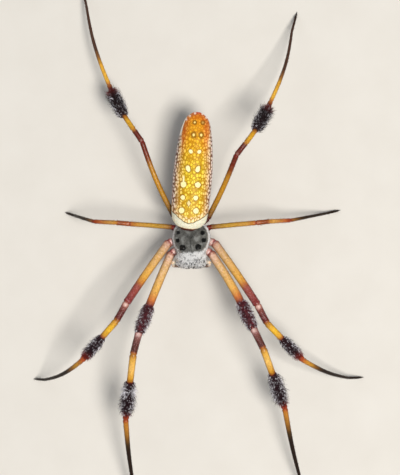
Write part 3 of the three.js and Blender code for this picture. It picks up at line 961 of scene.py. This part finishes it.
def fur_finish(name, clump, share_dark):
    """White hair that gathers in clumps, with dark hairs showing between them, greyed by painted
    shade on the -x side behind the head.
    """
    fur = Finish(name, {"Specular IOR Level": 0.35})
    shade = fur.field("shade")
    reach = fur.field("reach")
    clumps = fur.noise(fur.place(), clump, 2)
    colour = fur.blend((1 - reach) * 0.3, "#FFFFFF", "#9A9BA4")
    x, y, _ = shell_places(fur)
    # Painted shade: the hair on the -x side, behind the head, is greyed.
    painted_side_shade = x.step(-1.5, -3.2) * y.step(-2.8, -2.2)
    colour = fur.blend(0.35 * painted_side_shade, colour, "#8C827C")
    sparse = 0.1 * y.step(-4.3, -3.2)
    dark = (clumps + sparse + 0.3 * (shade - 0.5)).step(share_dark + 0.05, share_dark - 0.06)
    colour = fur.blend(dark, colour, "#2A2B32")
    return fur.finish(colour, 0.4 + 0.25 * shade, shade, 0.01 * mm)


def swirled(spots, size, turn):
    """Turns the lie of hair this way and that from place to place."""
    places = spots["root"] / size
    swirl = (np.sin(places[:, 0] * 2.1 + 1.7 * np.sin(places[:, 1] * 1.3))
             + np.sin(places[:, 1] * 2.7 + places[:, 2] * 1.9 + 2.0 * np.sin(places[:, 0] * 1.1)))
    across = unit(np.cross(spots["out"], spots["lie"]))
    spots["lie"] = unit(spots["lie"]) + across * (turn * swirl)[:, None]
    return spots


dice = np.random.default_rng(7)
spots = scatter(carapace, 90000, dice)
x, y = ((spots["root"] - np.array(shell_middle)) / mm)[:, :2].T
clear = np.ones(len(x), bool)
for aside, behind, radius in bald_spots:
    clear &= np.hypot(x - aside, y - behind) > radius * dice.uniform(0.95, 1.15, len(x))
for ball, radius in eye_balls.values():
    clear &= np.linalg.norm(spots["root"] - np.array(ball), axis=1) > 1.35 * radius
above = spots["out"][:, 2] > -0.25
face = (spots["out"][:, 1] < -0.4) & (spots["root"][:, 2] > 8.9 * mm)
on_head = y < -2.3 + 0.14 * x + 0.14 * dice.normal(size=len(x))
most_tufts = {"down": 13000, "fur": 14500, "fringe": 4500}
chosen = np.flatnonzero(clear & above & ~on_head)[:most_tufts["down"]]
down = coat("carapace_down", kept(spots, chosen), dice, down_finish("carapace_down"),
            length=0.3 * mm, width=0.03 * mm, lift=(16, 4), spread=0.5)
chosen = np.flatnonzero(clear & (above | face) & on_head)[:most_tufts["fur"]]
near_eye = np.min([np.linalg.norm(spots["root"][chosen] - np.array(ball), axis=1) / radius
                   for ball, radius in eye_balls.values()], axis=0)
long = (0.45 + 0.3 * dice.random(len(chosen))) * np.clip(near_eye / 4.5, 0.3, 1) * mm
long *= np.clip(1.1 + spots["out"][chosen, 2], 0.45, 1)
wide = dice.uniform(0.04, 0.1, len(chosen)) * mm
fur = coat("head_fur", swirled(kept(spots, chosen), 0.5 * mm, 0.8), dice,
           fur_finish("head_fur", 0.42 * mm, 0.43), long, wide, lift=(44, 6), spread=0.35)
steep = (np.abs(spots["out"][:, 2]) < 0.55) & (y > -2.9) & (y < 3.4) & (np.abs(x) > 2.2)
# Painted shade: the white fringe is thinned on the -x side, so that rim shows darker.
steep &= dice.random(len(x)) < np.where(x > 0, 1, 0.35)
chosen = np.flatnonzero(clear & steep)[:most_tufts["fringe"]]
fringe = coat("rim_fringe", swirled(kept(spots, chosen), 0.6 * mm, 0.5), dice,
              fur_finish("rim_fringe", 0.5 * mm, 0.33), length=0.5 * mm, width=0.04 * mm,
              lift=(46, 20), spread=0.4)


# ---- Eyes ----
# Eight domed lenses in two rows of four, polished and nearly black, each set in a low mound of
# shell of its own.

def eye_finish():
    eye = Finish("eye_lens", {"Specular IOR Level": 0.8, "Coat Weight": 1.0,
                              "Coat Roughness": 0.03})
    depth = eye.noise(eye.place(), 0.15 * mm, 1)
    colour = eye.blend(depth, "#030202", "#140906")
    return eye.finish(colour, 0.06 + 0.04 * depth, depth, 0.001 * mm)


lens_finish = eye_finish()
for node, (ball, radius) in eye_balls.items():
    shape = bmesh.new()
    bmesh.ops.create_uvsphere(
        shape, u_segments=28, v_segments=18, radius=radius, matrix=Matrix.Translation(ball))
    ball_piece = piece_from(shape, node.replace("eye", "lens"), lens_finish)
    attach(ball_piece, "root")
    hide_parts(node)


# ---- Jaws and fangs ----
# Two stout black jaws hang side by side under the face, polished, with a few stiff bristles.
# A curved fang folds inwards from the lower end of each.

def jaw_finish(name, deep, warm, gloss):
    jaw = Finish(name, {"Specular IOR Level": 0.6, "Coat Weight": 0.4, "Coat Roughness": 0.15})
    where = jaw.place()
    cloud = jaw.noise(where, 0.5 * mm, 4)
    pores = jaw.noise(where, 0.05 * mm, 2)
    return jaw.finish(jaw.blend(cloud, deep, warm), gloss + 0.15 * cloud, cloud + pores, 0.01 * mm)


def bristle_finish(name, root_colour, tip_colour):
    bristle = Finish(name, {"Specular IOR Level": 0.5})
    reach = bristle.field("reach")
    shade = bristle.field("shade")
    colour = bristle.blend(reach * shade, root_colour, tip_colour)
    return bristle.finish(colour, 0.45 + 0.1 * shade, shade, 0.005 * mm)


def thick_tube(points, thicknesses):
    """Stations through joints, with a pinch at each and a round tip."""
    stations = []
    for index in range(len(points) - 1):
        length = (points[index + 1] - points[index]).length
        for share in np.linspace(0.04, 0.96, 14):
            thickness = thicknesses[index] * (1 - share) + thicknesses[index + 1] * share
            pinch = 1 - 0.16 * hill(min(share, 1 - share) * length, 0.09 * mm)
            if index == len(points) - 2 and share > 0.8:
                pinch = math.sqrt(1 - ((share - 0.8) / 0.17) ** 2)
            middle = points[index].lerp(points[index + 1], share)
            stations.append((middle, thickness * pinch, index + share))
    return stations


dark_jaw = jaw_finish("jaw_shell", "#060404", "#1E0F0A", 0.2)
dark_fang = jaw_finish("fang_shell", "#070303", "#34100A", 0.12)
jaw_bristles = bristle_finish("jaw_bristles", "#14100E", "#6A625C")
down_way = Vector((0, 0, -1))
for side in ("right", "left"):
    node = f"chelicera_{side}"
    low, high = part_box(node)
    upper, lower = (section(node, low.lerp(high, s), down_way)[0] for s in (0.72, 0.3))
    solid = surface_of(node)
    top = solid.ray_cast(upper, upper - lower)[0]
    foot = solid.ray_cast(lower, lower - upper)[0]
    shape = wrapped(node, top, foot, sides=56, rings=64, depth=0, passes=16)
    bulge = top.lerp(foot, 0.36) + Vector((0, -0.7 * mm, 0))
    bump_out(shape, lambda place, normal: 0.16 * hill((place - bulge).length, 0.9 * mm))
    note_places(shape, top, foot, lambda place: Vector((0, -0.3, -1)))
    along = shape.verts.layers.float["along"]
    for point in shape.verts:
        near = max(0, 1 - point[along] / 0.16, 1 - (1 - point[along]) / 0.1)
        heart = top.lerp(foot, min(max(point[along], 0), 1))
        point.co = heart.lerp(point.co, 1 - 0.3 * near ** 2)
    jaw = piece_from(shape, f"jaw_{side}", dark_jaw)
    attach(jaw, "root")
    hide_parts(node)
    dice = np.random.default_rng(21 if side == "left" else 22)
    spots = scatter(jaw, 900, dice)
    front = spots["out"][:, 1] < 0.3
    long = dice.uniform(0.15, 0.36, front.sum()) * mm
    bristles = coat(f"jaw_bristles_{side}", kept(spots, front), dice, jaw_bristles, long,
                    width=0.022 * mm, lift=(48, 20))

    node = f"fang_{side}"
    places = [v.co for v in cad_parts[node].data.vertices]
    hinge = max(places, key=lambda p: p.z + abs(p.x - shell_middle.x))
    point = max(places, key=lambda p: (p - hinge).length)
    bow = Vector((0, 0, -0.12 * mm))
    arc = [hinge.lerp(point, s) + bow * math.sin(math.pi * s) for s in np.linspace(0.1, 1, 12)]
    stations = [(place, (0.22 - 0.2 * s ** 1.4) * mm, s)
                for place, s in zip(arc, np.linspace(0, 1, 12))]
    fang = piece_from(tube(stations, 16), f"fang_{side}_horn", dark_fang)
    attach(fang, "root")
    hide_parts(node)


# ---- Palps ----
# Two short feelers beside the jaws, pale cream shell in four lengths with fine dark hair,
# each from a rounded jaw plate beside the mouth.

def palp_finish():
    palp = Finish("palp_shell", {"Specular IOR Level": 0.5, "Subsurface Weight": 0.15,
                                 "Subsurface Scale": 0.25 * mm})
    where = palp.place()
    mottle = palp.noise(where, 0.3 * mm, 4)
    along = palp.field("along")
    colour = palp.ramp(along / 4, [
        (0, "#8A6A58"), (0.23, "#C8A890"), (0.26, "#6A1812"), (0.29, "#F2E6D4"),
        (0.48, "#F4E8D6"), (0.5, "#E8C4A0"), (0.53, "#F4E8D4"), (0.72, "#D8C0A6"),
        (0.75, "#6A3422"), (0.78, "#8A6A54"), (0.97, "#3A2820")])
    colour = palp.blend(0.2 * mottle, colour, "#A07E66")
    return palp.finish(colour, 0.34 + 0.2 * mottle, mottle, 0.015 * mm)


cream_shell = palp_finish()
palp_bristles = bristle_finish("palp_bristles", "#2A1C16", "#5A4A42")
# Each joint, in mm aside of the head's middle, behind its front and above the floor, and the
# half thickness there; then the half sizes of the plate at the root
palp_joints = ((1.2, 2.2, 7.1), (2.3, 1.35, 8.2), (3.65, 1.05, 9.4), (3.5, 0.45, 8.0),
               (2.3, 0.25, 5.9))
palp_thickness = (0.28, 0.34, 0.375, 0.34, 0.19)
plate_size = (0.46 * mm, 0.7 * mm, 0.38 * mm, 1)
for side, sign in (("right", -1), ("left", 1)):
    joints = [Vector((shell_middle.x + sign * x * mm, shell_low.y + y * mm, z * mm))
              for x, y, z in palp_joints]
    shape = tube(thick_tube(joints, [t * mm for t in palp_thickness]), 18)
    plate = Matrix.Translation(joints[0]) @ Matrix.Diagonal(plate_size)
    bmesh.ops.create_icosphere(shape, subdivisions=3, radius=1, matrix=plate)
    palp = piece_from(shape, f"palp_{side}_skin", cream_shell)
    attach(palp, "root")
    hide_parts(f"palp_{side}")
    dice = np.random.default_rng(31 if side == "left" else 32)
    spots = scatter(palp, 900, dice, lengths=4)
    here = spots["along"] > 0.6
    long = np.where(spots["along"][here] > 3, 0.32, 0.2) * mm
    bristles = coat(f"palp_bristles_{side}", kept(spots, here), dice, palp_bristles, long,
                    width=0.018 * mm, lift=(46, 22))


# ---- Underside plate and waist ----
# The heart-shaped plate between the legs' roots, with the lip in front of it, and the short
# bare stalk that carries the abdomen.

def plate_finish():
    plate = Finish("underside_plate", {"Specular IOR Level": 0.5})
    where = plate.place()
    cloud = plate.noise(where, 0.6 * mm, 4)
    pores = plate.noise(where, 0.06 * mm, 2)
    x, y, _ = shell_places(plate)
    front_mark = y.step(-1.2, -1.9) * abs(x).step(1.5, 0.9)
    colour = plate.blend(cloud, "#2C1710", "#5A3420")
    colour = plate.blend(0.7 * front_mark, colour, "#B9802C")
    return plate.finish(colour, 0.35 + 0.2 * cloud, cloud + 0.4 * pores, 0.02 * mm)


brown_plate = plate_finish()
low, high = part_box("sternum")
level = (low.z + high.z) / 2
front_tip = Vector((shell_middle.x, low.y + 0.05 * mm, level))
back_tip = Vector((shell_middle.x, high.y - 0.05 * mm, level))


def hip_humps(place, normal):
    """Low swellings of the plate beside each leg's root."""
    x, y = over_shell(place)
    return 0.05 * sum(hill(math.hypot(abs(x) - 1.25, y - at), 0.3) for at in (-1.5, -0.3, 0.9))


shape = wrapped(
    "sternum", front_tip, back_tip, sides=72, rings=64, depth=0.01 * mm, passes=5)
bump_out(shape, hip_humps)
sternum = piece_from(shape, "sternum_plate", brown_plate)
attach(sternum, "root")
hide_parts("sternum")

low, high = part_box("pedicel")
waist_middle = (low + high) / 2
stations = [(Vector((waist_middle.x, low.y + s * (high.y - low.y), waist_middle.z)),
             (0.44 + 0.04 * math.sin(s * 40)) * mm, s) for s in np.linspace(-0.15, 1.15, 26)]
waist = piece_from(tube(stations, 20), "waist_stalk", brown_plate)
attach(waist, "root")
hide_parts("pedicel")


# ---- Abdomen: skin ----
# A long soft barrel, smooth and a little glossy. Golden above, with cream spots in pairs and
# fine cream flecks, a cream crescent over the front, and purple-brown flanks dotted cream.

nose, tail = end_middles("abdomen", 0.04 * mm)
body_length = (Vector((tail.x, tail.y)) - Vector((nose.x, nose.y))).length
body_way = Vector((tail.x - nose.x, tail.y - nose.y, 0)) / body_length
body_aside = Vector((body_way.y, -body_way.x, 0))
body_height = 10.3 * mm

# The share of the body in front of a pair of spots; then, in mm, its middle, half spacing and
# radius; and how much its spots are drawn out and slanted
spot_pairs = (
    (0.169, -0.58, 1.43, 0.58, 1.0, 0), (0.277, -0.6, 1.28, 0.48, 1.0, 0),
    (0.387, -0.44, 1.42, 0.58, 1.0, 0), (0.519, -0.12, 0.96, 0.46, 1.45, 0.3),
    (0.664, 0.14, 0.84, 0.4, 1.0, 0.15), (0.804, 0.48, 0.75, 0.25, 1.2, 0),
    (0.909, 0.62, 0.8, 0.21, 1.0, 0),
)


def over_body(place):
    """How far a place lies aside of the abdomen's middle line and behind its front end."""
    off = place - nose
    return off.dot(body_aside), off.dot(body_way)


def body_relief(place, normal):
    """Faint folds across the skin; below, a furrow with a low lung cover on each side."""
    x, y = (reach / mm for reach in over_body(place))
    height = 0.02 * math.sin(y * 5.2 + 0.8 * math.sin(x * 2.1)) * hill(x, 2.6)
    if normal.z < -0.2:
        height -= 0.16 * hill(y - 6.6, 0.28) * hill(x, 3.0)
        height += 0.12 * hill(math.hypot((abs(x) - 1.7) / 1.2, (y - 5.0) / 1.5), 0.9)
    return height


def body_skin():
    shape = wrapped("abdomen", nose, tail, sides=176, rings=220, depth=coat_depth, passes=14)
    bump_out(shape, body_relief)
    along, around, aside, height, turned, lie = point_fields(
        shape, "along", "around", "aside", "height", "turn")
    for point in shape.verts:
        x, y = over_body(point.co)
        turn = math.atan2(x, point.co.z - body_height)
        point[along] = y / body_length
        point[around] = 0.5 + turn / math.tau
        point[aside] = x / mm
        point[height] = point.co.z / mm
        point[turned] = abs(math.degrees(turn))
        point[lie] = body_way
    return shape


def body_colour(finish):
    """The abdomen's markings, from where a point lies along (f) and around (turn) it, and in mm
    aside (x), behind its front (y) and above the floor (z)."""
    where = finish.place()
    f = finish.field("along")
    x = finish.field("aside")
    z = finish.field("height")
    y = f * (body_length / mm)
    turn = finish.field("turn")
    wobble = finish.noise(where, 1.4 * mm, 3) - 0.5
    fine = finish.noise(where, 0.22 * mm, 3)

    # The back: golden, orange towards the end, with fine pale flecks between darker seams
    ground = finish.ramp(f, [
        (0, "#D0A428"), (0.3, "#C69810"), (0.5, "#C09810"), (0.7, "#C68C06"),
        (0.88, "#CC860C"), (0.97, "#CC6A0E"), (1.0, "#C04A10")])
    light = finish.ramp(f, [
        (0, "#F8E374"), (0.28, "#F7DC50"), (0.45, "#F4DC3E"), (0.62, "#F1CA3A"),
        (0.8, "#F3BA26"), (0.93, "#F4AC2C"), (1.0, "#F0802C")])
    flush = (turn + 16 * wobble).step(20, 42)
    reddish = f.step(0.6, 0.8) * (turn + 20 * wobble).step(14, 40)
    ground = finish.layers(ground, (0.52 * flush, "#A4641E"), (0.7 * reddish, "#C4560C"))
    light = finish.layers(light, (0.75 * flush, "#F4CC8A"), (0.7 * reddish, "#F29A2E"))
    stretched = finish.node("ShaderNodeMapping", {}, {"Vector": where, "Scale": (1, 0.8, 1)})
    flecks = (stretched, 0.54 * mm, 0.9)
    border = finish.cells(*flecks, feature="DISTANCE_TO_EDGE")
    tint = finish.cells(*flecks, "Color") * 1.0
    core = finish.cells(*flecks).step(0.68, 0.42)
    fleck = (border + 0.12 * (fine - 0.5)).step(0.04, 0.17) * core
    fleck = fleck * (0.3 + 0.7 * tint.step(0.15, 0.45)) * (1 - 0.3 * f.step(0.68, 0.9))
    seams = 0.38 * border.step(0.06, 0.0) * (1 - 0.6 * f.step(0.7, 0.9))

    # Longer flecks stand side by side behind the crescent's scalloped edge
    off_middle = x + 0.6
    scallops = 0.11 * abs(finish.math("SINE", x * 3.1))
    edge = 1.5 + 1.9 * (abs(off_middle) / 3.2) ** 1.6 - 0.1 * off_middle - scallops + 0.3 * wobble
    petals = finish.node("ShaderNodeCombineXYZ", {}, {"X": x / 0.6, "Y": (y - edge) / 1.1})
    petals = finish.cells(petals, 1, 0.6, feature="DISTANCE_TO_EDGE", dimensions="2D")
    by_band = (y - edge).step(1.25, 0.85)

    # Cream spots in pairs, each in a darker ring, a streak off one of them, and a small diamond
    rings = 0
    cream = 0
    uneven = 0.55 * finish.noise(where, 0.5 * mm, 2) + 0.25 * fine - 0.4
    for share, centre, half, radius, stretch, slant in spot_pairs:
        behind = (y - share * (body_length / mm)) / stretch
        for sign in (-1, 1):
            off = x - centre - sign * (half + slant * behind)
            far = ((off ** 2 + behind ** 2) ** 0.5) / radius + uneven
            wide = 2.6 if share > 0.75 else 1.5
            rings = far.step(wide, wide - 0.5).most(rings)
            lit = 0.3 if share > 0.9 and sign > 0 else 1
            cream = (lit * far.step(1.06, 0.84)).most(cream)
    streak = abs(x + 1.88).step(0.24, 0.1) * y.step(8.9, 9.2) * y.step(11.0, 10.5)
    diamond = abs(x + 0.64) * 1.3 + abs(y - 5.4) * 0.8
    rings = diamond.step(0.78, 0.6).most(rings)
    cream = cream.most(streak).most(0.7 * diamond.step(0.56, 0.42))
    back = finish.layers(
        ground, (fleck, light), (seams, "#6E4204"), (0.8 * by_band, "#A87A24"),
        (by_band * petals.step(0.05, 0.2), "#F8DCA4"), (0.72 * rings, "#7A5206"),
        (cream, finish.blend(f.step(0.68, 0.78), "#FFEEB0", "#FBDF86")))

    # The flanks: purple-brown with rows of cream dots, which run together round the end
    at_end = f.step(0.9, 0.94)
    rows = finish.node("ShaderNodeCombineXYZ", {}, {"X": y / 0.72, "Y": turn / 10.5})
    size = finish.cells(rows, 1, 0.6, "Color", dimensions="2D") * 1.0
    dots = finish.cells(rows, 1, 0.6, dimensions="2D") - 0.2 * (size - 0.5)
    dots = dots * (1 - at_end) + (finish.cells(where, 0.75 * mm, 0.7) - 0.05) * at_end
    upper = (turn + 14 * wobble).step(68, 50).most((f + 0.1 * wobble).step(0.3, 0.14))
    dotted = (dots - 0.04 * upper + 0.3 * (fine - 0.5)).step(0.43, 0.31)
    flank = finish.layers(
        finish.blend(fine, "#4A2A1E", "#80523E"), (0.75 * upper, "#A8763C"),
        (dotted, finish.blend(upper, "#F8E4DA", "#FADCAE")))

    # The belly: darker, with small ochre dots and two pale lung covers
    lung = ((((abs(x) - 1.7) / 1.15) ** 2 + ((y - 5.0) / 1.4) ** 2) ** 0.5).step(1, 0.85)
    belly = finish.layers(
        finish.blend(fine, "#2E1C16", "#4E3026"),
        ((dots + 0.2 * (fine - 0.5)).step(0.26, 0.14), "#B88A3A"), (0.8 * lung, "#8A6030"))
    low = (turn + 20 * wobble).step(118, 138) * (1 - at_end) + at_end * z.step(10, 8.6)
    limit = 46 + 28 * f.step(0.72, 0.97)
    on_flank = (turn - limit + 14 * wobble).step(-7, 7)

    # The end: a red rim, a few pale pips, and a painted highlight along the edge of the right
    # flank
    above = z.step(8.6, 9.6)
    tail_y = y - body_length / mm
    out = ((x - 0.2) ** 2 + (tail_y + 2.65) ** 2) ** 0.5
    rim = out.step(2.1, 2.5) * tail_y.step(-2.6, -1.6) * above * abs(x - 0.5).step(1.5, 0.6)
    pips = 0
    for aside, behind in ((-0.2, -0.3), (1.3, -0.36), (-1.2, -0.85), (2.1, -1.05), (-1.9, -1.6)):
        far = ((x - aside) ** 2 + (tail_y - behind) ** 2) ** 0.5
        pips = far.step(0.3, 0.17).most(pips)
    # Painted highlight: a pale line along the right flank's edge towards the end.
    edge_highlight = abs(turn - 66 + 8 * wobble).step(11, 7) * f.step(0.77, 0.83) * f.step(0.97, 0.94)

    # The front: the cream crescent, a dark line along its edge, and bare dark skin below it,
    # partly painted shadow where the abdomen overhangs the carapace
    foot = 13.15 - 0.16 * (x + 0.6) ** 2
    in_front = (y - edge).step(0.06, -0.06)
    band = in_front * (z - foot).step(-0.08, 0.1)
    # Dark red skin below the crescent, partly painted shadow where the abdomen overhangs the
    # carapace.
    lip = in_front * (z - foot).step(0.05, -0.1) * (1 - turn.step(100, 120))
    line = abs(y - edge - 0.04).step(0.14, 0.04) * (z - foot).step(0, 0.2)
    colour = finish.layers(
        back, (on_flank, finish.blend(low, flank, belly)), (0.7 * rim, "#E0441C"),
        (pips * above, "#FCDCC8"), (edge_highlight * x.step(-0.6, -1.2), "#FFF4E0"),
        (band, finish.blend(fine.step(0.35, 0.75), "#EAE7D2", "#C8C5A8")),
        (lip, "#4A140C"), (0.9 * line, "#4E4418"))
    raised = (cream.most(fleck * 0.6) * (1 - on_flank)).most(dotted * on_flank * 0.6)
    return colour, fine, raised * (1 - in_front)


def body_finish():
    body = Finish("abdomen_skin", {
        "Specular IOR Level": 0.18, "Subsurface Weight": 0.1, "Subsurface Scale": 0.4 * mm})
    colour, fine, raised = body_colour(body)
    return body.finish(colour, 0.36 + 0.2 * fine, raised + 0.3 * fine, 0.03 * mm)


abdomen = piece_from(body_skin(), "abdomen_skin", body_finish())
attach(abdomen, "root")
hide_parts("abdomen")


# ---- Abdomen: hair ----
# Very fine, short hair, too thin to hide the markings. It lies back along the skin, in the
# colour of what it grows from.

def body_hair_finish():
    hair = Finish("abdomen_hair", {"Specular IOR Level": 0.5})
    shade = hair.field("shade")
    colour = hair.blend(0.06 + 0.12 * shade, body_colour(hair)[0], "#F0E0B8")
    return hair.finish(colour, 0.45 + 0.2 * shade, shade, 0.005 * mm)


dice = np.random.default_rng(41)
spots = scatter(abdomen, 9000, dice)
hair = coat("abdomen_hair", spots, dice, body_hair_finish(), length=0.2 * mm,
            width=0.014 * mm, lift=(30, 14))
fields = {
    "aside": ((spots["root"] - np.array(nose)) @ np.array(body_aside)) / mm,
    "height": spots["root"][:, 2] / mm,
    "turn": np.abs(spots["around"] - 0.5) * 360,
}
for label, values in fields.items():
    field = hair.data.attributes.new(label, "FLOAT", "POINT")
    field.data.foreach_set("value", np.repeat(values, 7))


# ---- Spinnerets ----
# Three pairs of short jointed teats on a low mound under the end of the abdomen, brown, with
# the small cone of the vent behind them.

def spinneret_finish():
    teat = Finish("spinneret_skin", {"Specular IOR Level": 0.45})
    where = teat.place()
    cloud = teat.noise(where, 0.3 * mm, 4)
    colour = teat.blend(cloud.step(0.3, 0.7), "#3A2016", "#7A4A2C")
    return teat.finish(colour, 0.45 + 0.2 * cloud, cloud, 0.02 * mm)


low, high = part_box("spinnerets")
mound_middle = Vector(((low.x + high.x) / 2, (low.y + high.y) / 2 - 0.12 * mm, 7.15 * mm))
turned = Matrix.Translation(mound_middle) @ Matrix.Rotation(
    math.atan2(-body_way.x, body_way.y), 4, "Z")
brown_skin = spinneret_finish()
shape = bmesh.new()
mound = Matrix.Diagonal((1.02 * mm, 1.25 * mm, 0.8 * mm, 1))
bmesh.ops.create_uvsphere(shape, u_segments=40, v_segments=24, radius=1, matrix=turned @ mound)
bump_out(shape, lambda place, normal: 0.04 * math.sin(place.y / mm * 9))
mound = piece_from(shape, "spinneret_mound", brown_skin)
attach(mound, "root")
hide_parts("spinnerets")

# Aside of and behind the mound's middle, lean back, lean out (degrees), and size
teats = ((0.48, -0.62, 12, 8, 1.0), (0.22, 0.05, -10, 2, 0.7), (0.46, 0.6, -24, 10, 0.92))
teat_outline = ((0, 0.42), (0.15, 0.45), (0.35, 0.42), (0.46, 0.34), (0.5, 0.3), (0.54, 0.33),
                (0.7, 0.3), (0.82, 0.24), (0.92, 0.15), (0.97, 0.07))
placed = [(sign * x, y, tilt, -sign * lean, size) for x, y, tilt, lean, size in teats
          for sign in (-1, 1)]
dice = np.random.default_rng(51)
for index, (x, y, tilt, lean, size) in enumerate([*placed, (0, 1.25, 35, 0, 0.62)]):
    stand = turned @ Matrix.Translation((x * mm, y * mm, -0.3 * mm)) @ Matrix.Rotation(
        math.radians(lean), 4, "Y") @ Matrix.Rotation(math.radians(tilt), 4, "X")
    stations = [(stand @ Vector((0, 0, -1.25 * s * size * mm)), half * size * mm, s)
                for s, half in teat_outline]
    teat = piece_from(tube(stations, 20), f"spinneret_{index + 1}", brown_skin)
    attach(teat, "root")
    spots = scatter(teat, 220, dice)
    down = coat(f"spinneret_{index + 1}_hair", spots, dice, palp_bristles, length=0.14 * mm,
                width=0.014 * mm, lift=(34, 16))


# ---- Claws ----
# Each foot ends in a pair of small hooks with a shorter one between them, of black horn, which
# grip the silk.

foot_horn = jaw_finish("foot_horn", "#050303", "#1C100A", 0.18)
hooks = ((-0.34, 0.42), (0.34, 0.42), (0, 0.28))  # the lean aside, and the length in mm
for leg in leg_names:
    toe = bones[leg]["tarsus"]
    ahead = Vector((toe.way.x, toe.way.y, 0)).normalized()
    beside = ahead.cross(Vector((0, 0, 1)))
    for index, (lean, length) in enumerate(hooks):
        way = (ahead + beside * lean).normalized()
        stations = []
        for share in np.linspace(0, 1, 9):
            out = toe.end + way * length * share * mm
            rise = 0.1 * math.sin(math.pi * min(share * 1.15, 1)) + 0.06 - 0.05 * share
            place = Vector((out.x, out.y, max(toe.end.z * (1 - share), 0) + rise * mm))
            stations.append((place, (0.042 - 0.036 * share) * mm, float(share)))
        claw = piece_from(tube(stations, 8), f"{leg}_claw_{index + 1}", foot_horn)
        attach(claw, "root")


size = {"cad": [list(cad_low), list(cad_high)], "visual": [list(v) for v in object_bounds()]}
